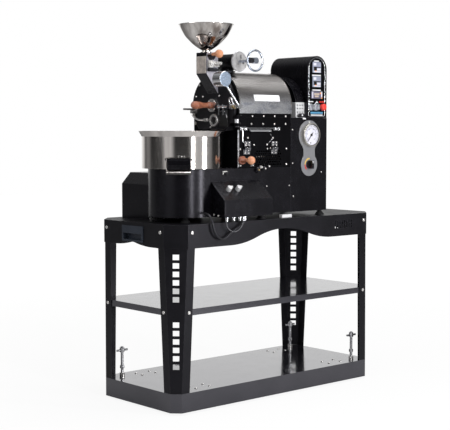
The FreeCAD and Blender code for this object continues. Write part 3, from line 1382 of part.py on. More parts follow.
def make_discharge_door():
    z = up(door_pivot_z)
    front = face_x - 2 * seat_gap - plate_thickness
    plate = block((front - door_plate_sheet, front), (door_y - door_width / 2 + 2, door_y + door_width / 2 - 6),
                  (up(door_low_z), z - 14))
    arms = [block((door_pivot_x - 3, front - 1), (y, y + door_arm_width), (z - door_arm_drop, z)) for y in door_arm_y]
    eyes = [rod((door_pivot_x, y, z), (door_pivot_x, y + door_arm_width, z), door_eye_radius) for y in door_arm_y]
    shaft = rod((door_pivot_x, door_shaft_rear, z), (door_pivot_x, door_lever_y - 5, z), door_shaft_radius)
    hub = rod((door_pivot_x, door_lever_y + 7, z), (door_pivot_x, door_lever_y - 6, z), door_hub_radius)
    direction = Vector(weight_x + 8 - door_pivot_x, 0, weight_z - weight_radius + 4 - door_pivot_z)
    start = Vector(door_pivot_x, door_lever_y, z)
    lever = rod(start, start + direction, door_lever_radius)
    back = door_lever_y - 4
    weight = rod((weight_x, back, up(weight_z)), (weight_x, back + weight_length, up(weight_z)), weight_radius)
    weight = weight.makeFillet(3, [e for e in weight.Edges if e.Curve.TypeId == "Part::GeomCircle"])
    add("discharge_door", fuse([plate, shaft, hub, lever, weight] + arms + eyes))


def make_fittings():
    """Trier boss, sight port, probe and its bent tube."""
    x = face_x - seat_gap - plate_thickness
    z = up(trier_z)
    octagon = [(trier_y + boss_radius / math.cos(math.pi / 8) * math.sin(math.radians(22.5 + 45 * k)),
                z + boss_radius / math.cos(math.pi / 8) * math.cos(math.radians(22.5 + 45 * k))) for k in range(8)]
    boss = prism_x(octagon, (x - boss_height, x)).cut(
        rod((x - 30, trier_y, z), (x + 5, trier_y, z), trier_radius + running_fit))
    sz = up(sight_z)
    port = ring((x - boss_height, sight_y, sz), (x, sight_y, sz), sight_radius, sight_glass_radius)
    port = port.makeFillet(3, [e for e in rims_at(port, "x", x - boss_height) if e.Curve.Radius > sight_glass_radius + 1])
    glass = rod((x - 9, sight_y, sz), (x - 5, sight_y, sz), sight_glass_radius)
    pz = up(probe_z)
    probe = fuse([rod((x, probe_y, pz), (x - probe_length, probe_y, pz), probe_radius),
                  rod((x, probe_y, pz), (x - 4 * probe_radius, probe_y, pz), probe_nut_radius)])
    add("plate_fittings", boss, fuse([port, glass]), probe, make_bent_tube(x))


def make_bent_tube(x):
    """Tube that hangs in a bow between two blocks on the plate."""
    out = x - tube_stand_off
    (top_y, top_z), (end_y, end_z) = tube_top, tube_end
    drop = top_z - end_z
    route = [(out, top_y, up(top_z)), (out, top_y - 4, up(top_z - 0.36 * drop)),
             (out, top_y - 22, up(end_z + 0.21 * drop)), (out, top_y - 46, up(end_z + 0.5)),
             (out, end_y + 16, up(end_z)), (out, end_y, up(end_z))]
    ends = [block((out - 6, x), (end_y - 10, end_y + 2), (up(end_z) - 7, up(end_z) + 7)),
            block((out - 4, x), (top_y - 7, top_y + 7), (up(top_z) - 4, up(top_z) + 10))]
    return fuse([tube_route(route, tube_radius)] + ends)


def make_trier():
    x = face_x - seat_gap - plate_thickness - boss_height
    z = up(trier_z)
    blade = rod((x - 6, trier_y, z), (x + 105, trier_y, z), trier_radius)
    scoop = block((x + 45, x + 100), (trier_y - 20, trier_y + 20), (z + 2, z + 20))
    profile = [(0, 11), (6, 15), (16, 15), (26, 11), (44, 11), (62, 14), (82, 17), (98, 16.5), (106, 11), (110, 4)]
    handle = turned(profile, (x - seat_gap, trier_y, z), (-1, 0, 0))
    add("trier", fuse([blade.cut(scoop), handle]))


# ---------------------------------------------------------------- hopper
def make_hopper():
    t = hopper_sheet
    points = [Vector(r, 0, up(h)) for h, r in bowl_profile]
    outer = Part.BSplineCurve()
    outer.interpolate(points)
    inner_points = [Vector(max(r - 1.25 * t, hopper_tube_radius - t), 0, up(h) + 0.2 * t) for h, r in bowl_profile]
    inner_points[0] = Vector(bowl_profile[0][1] - 1.25 * t, 0, up(hopper_rim_z))
    inner_points[-1] = Vector(hopper_tube_radius - t, 0, up(bowl_profile[-1][0]))
    inner = Part.BSplineCurve()
    inner.interpolate(inner_points)
    tube_out = Vector(hopper_tube_radius, 0, up(hopper_tube_low))
    tube_in = Vector(hopper_tube_radius - t, 0, up(hopper_tube_low))
    rim = hopper_rim_radius
    edges = [outer.toShape(), Part.LineSegment(points[-1], tube_out).toShape(),
             Part.LineSegment(tube_out, tube_in).toShape(), Part.LineSegment(tube_in, inner_points[-1]).toShape(),
             inner.toShape(), Part.LineSegment(inner_points[0], points[0]).toShape()]
    bowl = Part.Face(Part.Wire(Part.__sortEdges__(edges)))
    bowl = bowl.revolve(Vector(0, 0, 0), Vector(0, 0, 1), 360)
    lip = ring((0, 0, up(hopper_rim_z) - t), (0, 0, up(hopper_rim_z)), rim, bowl_profile[0][1] - 1.25 * t)
    collar = ring((0, 0, up(neck_top_z)), (0, 0, up(neck_top_z) + 3), hopper_tube_radius + 7, hopper_tube_radius - 0.5)
    bowl = bowl.fuse(collar)
    whole = bowl.fuse(lip).removeSplitter()
    whole.translate(Vector(hopper_x, axis_y, 0))
    add("hopper", whole)


def make_neck():
    """Folded neck under the hopper: two cheeks, a top, a front with its window, a slope and an open back."""
    front_x, rear = neck_front_x, face_x - seat_gap - plate_thickness
    y = (axis_y - neck_half_width, axis_y + neck_half_width)
    t = neck_sheet
    inside = (y[0] + t, y[1] - t)
    top, bend, low = up(neck_top_z), up(neck_bend_z), up(neck_low_z)
    fall = (bend - low) / (rear - front_x)
    rise = t * math.hypot(1, fall)
    outline = [(front_x, top), (front_x, bend), (rear, low), (rear, top)]
    slot = block((hopper_x - gate_width / 2 - cord_gap, hopper_x + gate_width / 2 + cord_gap),
                 (y[0] - 1, y[0] + t + 1), (up(gate_z) - cord_gap, up(gate_z) + gate_thickness + cord_gap))
    cheeks = [prism_y(outline, (y[0], inside[0])).cut(slot), prism_y(outline, (inside[1], y[1]))]
    slope = prism_y([(front_x, bend), (rear, low), (rear, low + rise), (front_x, bend + rise)], inside)
    front = prism_y([(front_x, bend + rise), (front_x + t, bend + rise - t * fall), (front_x + t, top - t),
                     (front_x, top - t)], inside)
    back = prism_y([(rear - t, low + rise + t * fall), (rear, low + rise), (rear, top - t), (rear - t, top - t)],
                   inside)
    roof_z = (top - t, top)
    roof = block((front_x, rear), inside, roof_z).cut(
        rod((hopper_x, axis_y, roof_z[0] - 1), (hopper_x, axis_y, roof_z[1] + 1), hopper_tube_radius + cord_gap))
    glass_y = (axis_y - neck_window_half, axis_y + neck_window_half)
    glass_z = (bend + neck_window_edge, top - neck_window_drop)
    passage_y = (axis_y - inlet_half, axis_y + inlet_half)
    walls = cheeks + [slope] + around(front, glass_y, glass_z)
    walls += around(back, passage_y, (low + inlet_edge, bend - inlet_edge))
    walls += sectors(roof, (hopper_x, axis_y), prism_z, roof_z, 4)
    frame = block((front_x - neck_frame_proud, front_x), (y[0] + neck_frame_proud, y[1] - neck_frame_proud),
                  (bend + 2, top - neck_window_drop / 2))
    opening = block((front_x - neck_frame_proud - 1, front_x + 1), glass_y, glass_z)
    pane = block((front_x - neck_frame_proud / 2, front_x + 0.6), glass_y, glass_z)
    add("hopper_neck", *walls, fuse([frame.cut(opening), pane]))


def make_gate():
    half = gate_width / 2
    y0 = axis_y - neck_half_width + 3
    plate = block((hopper_x - half, hopper_x + half), (y0 - 8, axis_y + 23), (up(gate_z), up(gate_z) + gate_thickness))
    z = up(gate_z) + gate_thickness / 2
    stem = rod((hopper_x, y0 - 4, z), (hopper_x, gate_ball_y, z), 4)
    block_end = block((hopper_x - 8, hopper_x + 8), (y0 - 12, y0 - 5.5), (z - 5, z + 5))
    ball = Part.makeSphere(ball_radius, Vector(hopper_x, gate_ball_y, z))
    throat = turned([(0, 7), (10, 7.5), (22, 10)], (hopper_x, y0 - 12, z), (0, -1, 0))
    add("hopper_gate", fuse([plate, stem, block_end, ball, throat]))


# ---------------------------------------------------------------- exhaust
def make_duct():
    z = up(duct_z)
    pipe = rod((duct_x, duct_front_y, z), (duct_x, duct_rear_y, z), duct_radius)
    riser = rod((duct_x, axis_y, up(axis_z) + cover_radius - 12), (duct_x, axis_y, z), riser_radius)
    flange = rod((duct_x, axis_y, up(axis_z) + cover_radius + seat_gap), (duct_x, axis_y, up(axis_z) + cover_radius + 4),
                 riser_radius + 8)
    dial = rod((duct_x, duct_front_y - 4, z), (duct_x, duct_front_y, z), dial_radius)
    collar = rod((duct_x, duct_rear_y - duct_collar_length, z), (duct_x, duct_rear_y, z), duct_collar_radius)
    body = fuse([pipe, riser, flange, dial, collar])
    tools = [rod((duct_x, duct_front_y + 2, z), (duct_x, duct_rear_y + 1, z), duct_radius - duct_sheet),
             rod((duct_x, axis_y, up(axis_z) + 100), (duct_x, axis_y, z), riser_radius - duct_sheet),
             rod((duct_x, duct_front_y - 10, z), (duct_x, duct_front_y + 10, z), damper_shaft_radius + running_fit)]
    add("exhaust_duct", cut(body, tools))
    wheel = Part.makeTorus(handwheel_radius - handwheel_bar, handwheel_bar, Vector(duct_x, handwheel_y, z),
                           Vector(0, 1, 0))
    reach = handwheel_radius - handwheel_bar
    spoke = block((duct_x - reach, duct_x + reach), (handwheel_y - 3, handwheel_y + 3), (z - 10, z + 10))
    hub = rod((duct_x, handwheel_y - 9, z), (duct_x, handwheel_y + 12, z), 13)
    shaft = rod((duct_x, handwheel_y, z), (duct_x, duct_front_y + 40, z), damper_shaft_radius)
    plate = rod((duct_x, duct_front_y + 30, z), (duct_x, duct_front_y + 32, z), duct_radius - duct_sheet - 1)
    plate = cut(plate, [block((duct_x, duct_x + 60), (duct_front_y, duct_front_y + 60), (z + 7, z + 60)),
                        block((duct_x - 60, duct_x), (duct_front_y, duct_front_y + 60), (z - 60, z - 7))])
    add("damper_wheel", fuse([wheel, spoke, hub, shaft, plate]))


# ---------------------------------------------------------------- control panel
def arch_outline(inset, y):
    radius = (arch_right_x - arch_left_x) / 2 - inset
    middle = (arch_left_x + arch_right_x) / 2
    centre_z = up(arch_top_z) - (arch_right_x - arch_left_x) / 2
    low = up(tower_height) + seat_gap + inset
    a, b = Vector(middle - radius, y, low), Vector(middle - radius, y, centre_z)
    c, d = Vector(middle + radius, y, centre_z), Vector(middle + radius, y, low)
    edges = [Part.LineSegment(a, b).toShape(), Part.Arc(b, Vector(middle, y, centre_z + radius), c).toShape(),
             Part.LineSegment(c, d).toShape(), Part.LineSegment(d, a).toShape()]
    return Part.Face(Part.Wire(edges))


def make_arch():
    depth = arch_rear_y - arch_front_y
    outer = arch_outline(0, arch_front_y).extrude(Vector(0, depth, 0))
    inner = arch_outline(arch_sheet, arch_front_y - 1).extrude(Vector(0, depth + 1 - arch_sheet, 0))
    add("arch_box", outer.cut(inner))
    face = arch_front_y + panel_recess
    behind = face + panel_sheet
    panel = arch_outline(arch_sheet + seat_gap, face).extrude(Vector(0, panel_sheet, 0))
    middle = (arch_left_x + arch_right_x) / 2
    solids, holes = [], []
    for low, high, half in panel_modules:
        front = face - module_proud
        bezel = block((middle - half, middle + half), (front, face), (up(low), up(high)))
        inside = (middle - half + 3, middle + half - 3), (up(low) + 2, up(high) - 2)
        body = block(inside[0], (face, face + 60), inside[1])
        solids.append(rounded(bezel, 1.5, lambda e: e.CenterOfMass.y < front + 0.1).fuse(body))
        holes.append(block(inside[0], (face - 1, behind + 1), inside[1]))
    for x in switch_x + (stop_x,):
        holes.append(rod((x, face - 1, up(switch_z)), (x, behind + 1, up(switch_z)), knob_stem_radius + cord_gap))
    add("control_panel", cut(panel, holes), *solids)
    make_switches(face - seat_gap)


def make_switches(face):
    """Selector switches and the stop button, in front of the panel's face."""
    z = up(switch_z)
    for name, x in zip(("switch_left", "switch_right"), switch_x):
        front = face - switch_height
        cap = rod((x, face, z), (x, front, z), switch_radius)
        cap = cap.makeFillet(1.5, rims_at(cap, "y", front))
        grip = block((x - 4, x + 4), (front - 11, front + 1), (z - switch_radius + 2, z + switch_radius - 2))
        add(name, fuse([cap, grip, rod((x, face - 2, z), (x, face + 30, z), knob_stem_radius)]))
    rear = face - switch_height - 3
    front = rear - stop_height
    cap = rod((stop_x, rear, z), (stop_x, front, z), stop_radius)
    cap = cap.makeFillet(5, rims_at(cap, "y", front))
    add("stop_button", fuse([cap, rod((stop_x, rear - 2, z), (stop_x, face + 30, z), knob_stem_radius)]))


def make_gauge():
    y = body_front_y
    t = 3.0
    z1, z2 = up(gauge_z), up(gas_knob_z)
    lobes = [rod((gauge_x, y - t, z1), (gauge_x, y, z1), gauge_plate_radius),
             rod((gauge_x, y - t, z2), (gauge_x, y, z2), gas_plate_radius)]
    waist = prism_y([(gauge_x - 34, z1 - 50), (gauge_x + 34, z1 - 50), (gauge_x + 36, z2 + 30), (gauge_x - 36, z2 + 30)],
                    (y - t, y))
    waist = waist.fuse(prism_y([(gauge_x - 44, z1 - 44), (gauge_x + 44, z1 - 44), (gauge_x + 33, z1 - 66),
                                (gauge_x - 33, z1 - 66)], (y - t, y)))
    plate = fuse(lobes + [waist])
    plate = plate.cut(rod((gauge_x, y - 5, z2), (gauge_x, y + 1, z2), 6 + cord_gap))
    case = rod((gauge_x, y - t - gauge_case_depth, z1), (gauge_x, y - t, z1), gauge_case_radius)
    bowl = rod((gauge_x, y - t - gauge_case_depth - 1, z1), (gauge_x, y - t - 12, z1), gauge_case_radius - 4)
    case = case.makeFillet(2.5, [e for e in case.Edges if abs(e.CenterOfMass.y - y + t + gauge_case_depth) < 0.1
                                 and e.Curve.TypeId == "Part::GeomCircle"]).cut(bowl)
    neck = rod((gauge_x, y - t - 12, z1), (gauge_x, y + 40, z1), 14).cut(
        rod((gauge_x, y - t - 13, z1), (gauge_x, y + 20, z1), 2 + running_fit))
    add("gauge", plate.fuse(case).cut(rod((gauge_x, y - t - 12, z1), (gauge_x, y + 1, z1), 14)).fuse(neck).removeSplitter())
    pointer_y = y - t - 12
    needle = block((gauge_x - 1.2, gauge_x + 1.2), (pointer_y - 3.2, pointer_y - 2), (z1 - 14, z1 + 38))
    needle.rotate(Vector(gauge_x, 0, z1), Vector(0, 1, 0), gauge_rest_angle)
    hub = rod((gauge_x, pointer_y - 4, z1), (gauge_x, pointer_y - seat_gap, z1), 5)
    pin = rod((gauge_x, pointer_y - 2, z1), (gauge_x, pointer_y + 15, z1), 2)
    add("gauge_needle", fuse([needle, hub, pin]))
    front = y - t - seat_gap
    skirt = rod((gauge_x, front, z2), (gauge_x, front - 7, z2), gas_knob_radius)
    grip = block((gauge_x - 6, gauge_x + 6), (front - 24, front - 6), (z2 - 18, z2 + 18))
    stem = rod((gauge_x, front - 2, z2), (gauge_x, y + 30, z2), 6)
    add("gas_knob", fuse([skirt, grip, stem]))


# ---------------------------------------------------------------- build
make_stand_top()
make_pulls()
make_legs()
make_shelves()
make_hardware()
make_casters()
make_jacks()
make_base()
make_feet()
make_fan_box()
make_control_box()
make_cords()
make_tower()
make_bin()
make_housing()
make_face_plate()
make_burner_door()
make_burners()
make_airflow_knob()
make_drum()
make_drive()
make_cover()
make_guard()
make_discharge_door()
make_fittings()
make_trier()
make_hopper()
make_neck()
make_gate()
make_duct()
make_arch()
make_gauge()

os.makedirs("parts", exist_ok=True)
for name, shape in nodes.items():
    shape.exportStep("parts/%s.step" % name)
    print("%-18s solids %2d  volume %10.0f  valid %s" % (name, len(shape.Solids), shape.Volume, shape.isValid()))
print(len(nodes), "nodes")
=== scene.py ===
"""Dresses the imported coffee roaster: finishes for its CAD nodes, its cords and its small fittings."""
from dataclasses import dataclass
from math import cos, pi, radians, sin, tau

import bmesh
import bpy
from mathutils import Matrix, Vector


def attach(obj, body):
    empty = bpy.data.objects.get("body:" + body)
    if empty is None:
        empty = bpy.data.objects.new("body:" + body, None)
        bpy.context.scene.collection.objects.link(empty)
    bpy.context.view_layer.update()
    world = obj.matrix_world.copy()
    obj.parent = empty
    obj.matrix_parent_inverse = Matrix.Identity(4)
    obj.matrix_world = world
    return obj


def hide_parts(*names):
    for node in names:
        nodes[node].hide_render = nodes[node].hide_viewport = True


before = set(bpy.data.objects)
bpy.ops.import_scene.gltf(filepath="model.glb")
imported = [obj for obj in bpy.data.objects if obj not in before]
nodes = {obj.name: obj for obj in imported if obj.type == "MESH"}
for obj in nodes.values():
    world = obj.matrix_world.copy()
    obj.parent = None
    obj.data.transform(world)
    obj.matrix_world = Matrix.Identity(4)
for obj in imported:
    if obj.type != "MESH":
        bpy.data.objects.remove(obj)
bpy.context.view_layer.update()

# places of fittings are in mm: x and y from the middle of the stand, heights from the table top
TABLE = 770.0  # height of the table top above the floor
SHIFT = 14.6  # from the middle of the stand to the middle of the whole depth
AXIS_Y = -75.0  # middle plane of the machine and of the drum
BODY_FRONT = -217.5  # front face of the machine's body
BODY_REAR = 67.5
X, Y, Z = 0, 1, 2
FRONT, BACK, LEFT, RIGHT = (0, -1, 0), (0, 1, 0), (-1, 0, 0), (1, 0, 0)
UP = Vector((0, 0, 1))


def at(x, y, height):
    """Point of the frame in metres."""
    return Vector((x, y + SHIFT, height + TABLE)) / 1000


def mm(value):
    return value / 1000


def add(name, data):
    """New object in the scene."""
    made = bpy.data.objects.new(name, data)
    bpy.context.scene.collection.objects.link(made)
    return made


# ---------------- camera
CAMERA_PLACE = (-3.5288, -3.8478, 1.1463)
CAMERA_DOWN = 4.112  # degrees below the horizon
CAMERA_TURN = 41.648  # degrees round from the long side
CAMERA_LENS, CAMERA_FILM = 94.54, 36.0
FAR = 60.0


def make_camera():
    data = bpy.data.cameras.new("camera")
    data.lens, data.sensor_width = CAMERA_LENS, CAMERA_FILM
    data.clip_end = FAR
    camera = add("camera", data)
    camera.location = CAMERA_PLACE
    camera.rotation_euler = (radians(90 - CAMERA_DOWN), 0, -radians(CAMERA_TURN))
    bpy.context.scene.camera = camera


# ---------------- node tools
class Shader:
    """Builds the nodes of one material or of the world.

    A Mix node's two values go in at 2 and 3 as numbers, 4 and 5 as vectors, or 6 and 7 as colours.
    """

    def __init__(self, owner):
        owner.use_nodes = True
        self.tree = owner.node_tree

    def node(self, kind, values=(), **settings):
        made = self.tree.nodes.new("ShaderNode" + kind)
        for key, value in settings.items():
            setattr(made, key, value)
        for key, value in dict(values).items():
            self.put(made.inputs[key], value)
        return made

    def put(self, socket, value):
        if isinstance(value, bpy.types.NodeSocket):
            self.tree.links.new(value, socket)
        else:
            socket.default_value = value

    def math(self, operation, *values, clamp=False):
        return self.node("Math", enumerate(values), operation=operation, use_clamp=clamp).outputs[0]

    def mix(self, share, a, b):
        """Colour between a and b."""
        return self.node("Mix", {0: share, 6: a, 7: b}, data_type="RGBA").outputs[2]

    def blend(self, share, a, b):
        """Number between a and b."""
        return self.node("Mix", {0: share, 2: a, 3: b}, data_type="FLOAT").outputs[0]

    def lean(self, share, a, b):
        """Direction between a and b."""
        return self.node("Mix", {0: share, 4: a, 5: b}, data_type="VECTOR").outputs[1]

    def dot(self, a, b):
        return self.node("VectorMath", {0: a, 1: b}, operation="DOT_PRODUCT").outputs["Value"]

    def spread(self, value, low, high, a=0.0, b=1.0):
        """Value from low to high, as a to b."""
        return self.node("MapRange", {0: value, 1: low, 2: high, 3: a, 4: b}).outputs[0]

    def noise(self, place, scale, detail, rough=0.5):
        values = {"Vector": place, "Scale": scale, "Detail": detail, "Roughness": rough}
        return self.node("TexNoise", values).outputs[0]


def rgba(colour):
    return (*colour, 1.0)


# ---------------- finishes
NOISE_BAND = (0.35, 0.65)  # where most of a noise's values lie
EDGE_WEAR_AND_HIGHLIGHT_BAND = (0.985, 0.93)  # cosines of an edge's lean where the lighter edge, wear and painted highlight, starts and where it is full
PATCH_DETAIL = (4.0, 0.6)
GRAIN_DETAIL = (3.0, 0.55)
GRAIN_SHARE = 0.45  # the grain's part in the unevenness of the gloss
COAT_ROUGH = 0.06
SHEEN = (0.90, 0.88, 1.0)  # tint of the light that paint and plastic reflect
HARD = 0.00005  # half the width of a zone's edge, in metres
ABOVE, BELOW = 1, -1


@dataclass
class Look:
    """One finish: uneven colour and gloss, a fine grain, and rounded edges painted lighter, as wear and
    as painted highlight.

    patch, grain and the sizes in speck and ripple are the scales of noises, stretch their stretch, and
    streaks stretches the patches too. depth and radius are in metres.
    """

    colour: tuple
    second: tuple
    rough: tuple
    metal: float = 0.0
    patch: float = 14
    grain: float = 900
    depth: float = 0.0002
    bump: float = 0.2
    stretch: tuple = (1, 1, 1)
    edge: tuple = None
    edge_share: float = 0.4
    edge_rough: float = None
    speck: tuple = None
    ripple: tuple = None
    coat: float = 0.0
    specular: float = 0.5
    radius: float = 0.0008
    glow: float = 0.0
    streaks: bool = False

    def layer(self, s, place):
        """Colour, gloss and normal of this finish at a place."""
        stretched = s.node("Mapping", {"Vector": place, "Scale": self.stretch}).outputs[0]
        cloud = s.noise(stretched if self.streaks else place, self.patch, *PATCH_DETAIL)
        fine = s.noise(stretched, self.grain, *GRAIN_DETAIL)
        tint = s.mix(s.spread(cloud, *NOISE_BAND), rgba(self.colour), rgba(self.second))
        gloss = s.spread(s.blend(GRAIN_SHARE, cloud, fine), *NOISE_BAND, *self.rough)
        if self.speck:
            size, share, colour = self.speck
            dots = s.node("TexVoronoi", {"Vector": place, "Scale": size}).outputs["Distance"]
            tint = s.mix(s.spread(dots, share, share * 0.5), tint, rgba(colour))
        height = fine
        if self.ripple:
            size, amount = self.ripple
            height = s.math("ADD", fine, s.math("MULTIPLY", s.noise(place, size, 1.0), amount))
        rounded = s.node("Bevel", {"Radius": self.radius}, samples=4).outputs[0]
        # lighter colour on rounded edges: partly wear, partly painted highlight
        if self.edge:
            flat = s.node("NewGeometry").outputs["Normal"]
            edge_wear_and_highlight = s.spread(s.dot(rounded, flat), *EDGE_WEAR_AND_HIGHLIGHT_BAND, 0.0, self.edge_share)
            tint = s.mix(edge_wear_and_highlight, tint, rgba(self.edge))
            if self.edge_rough is not None:
                gloss = s.blend(edge_wear_and_highlight, gloss, self.edge_rough)
        normal = s.node("Bump", {"Strength": self.bump, "Distance": self.depth, "Height": height,
                                 "Normal": rounded}).outputs[0]
        return tint, gloss, normal


def make_finish(name, look, *zones):
    """Material of one look; each zone is (axis, limit in mm, ABOVE or BELOW, its look's name).

    Zones lie over the look. A fifth value is half the width of a soft edge, in metres.
    """
    material = bpy.data.materials.new(name)
    s = Shader(material)
    base = s.tree.nodes["Principled BSDF"]
    place = s.node("TexCoord").outputs["Object"]
    tint, gloss, normal = look.layer(s, place)
    metal = look.metal
    if zones:
        axes = s.node("SeparateXYZ", {0: place}).outputs
        for axis, edge, side, other, *soft in zones:
            limit = at(edge, edge, edge)[axis]
            half = side * (soft[0] if soft else HARD)
            share = s.spread(axes[axis], limit - half, limit + half)
            over_tint, over_gloss, over_normal = looks[other].layer(s, place)
            tint = s.mix(share, tint, over_tint)
            gloss = s.blend(share, gloss, over_gloss)
            metal = s.blend(share, metal, looks[other].metal)
            normal = s.lean(share, normal, over_normal)
    s.put(base.inputs["Base Color"], tint)
    s.put(base.inputs["Roughness"], gloss)
    s.put(base.inputs["Metallic"], metal)
    s.put(base.inputs["Normal"], normal)
    base.inputs["Specular IOR Level"].default_value = look.specular
    if not look.metal:
        base.inputs["Specular Tint"].default_value = rgba(SHEEN)
    base.inputs["Coat Weight"].default_value = look.coat
    base.inputs["Coat Roughness"].default_value = COAT_ROUGH
    if look.glow:
        base.inputs["Emission Color"].default_value = rgba(look.colour)
        base.inputs["Emission Strength"].default_value = look.glow
    return material
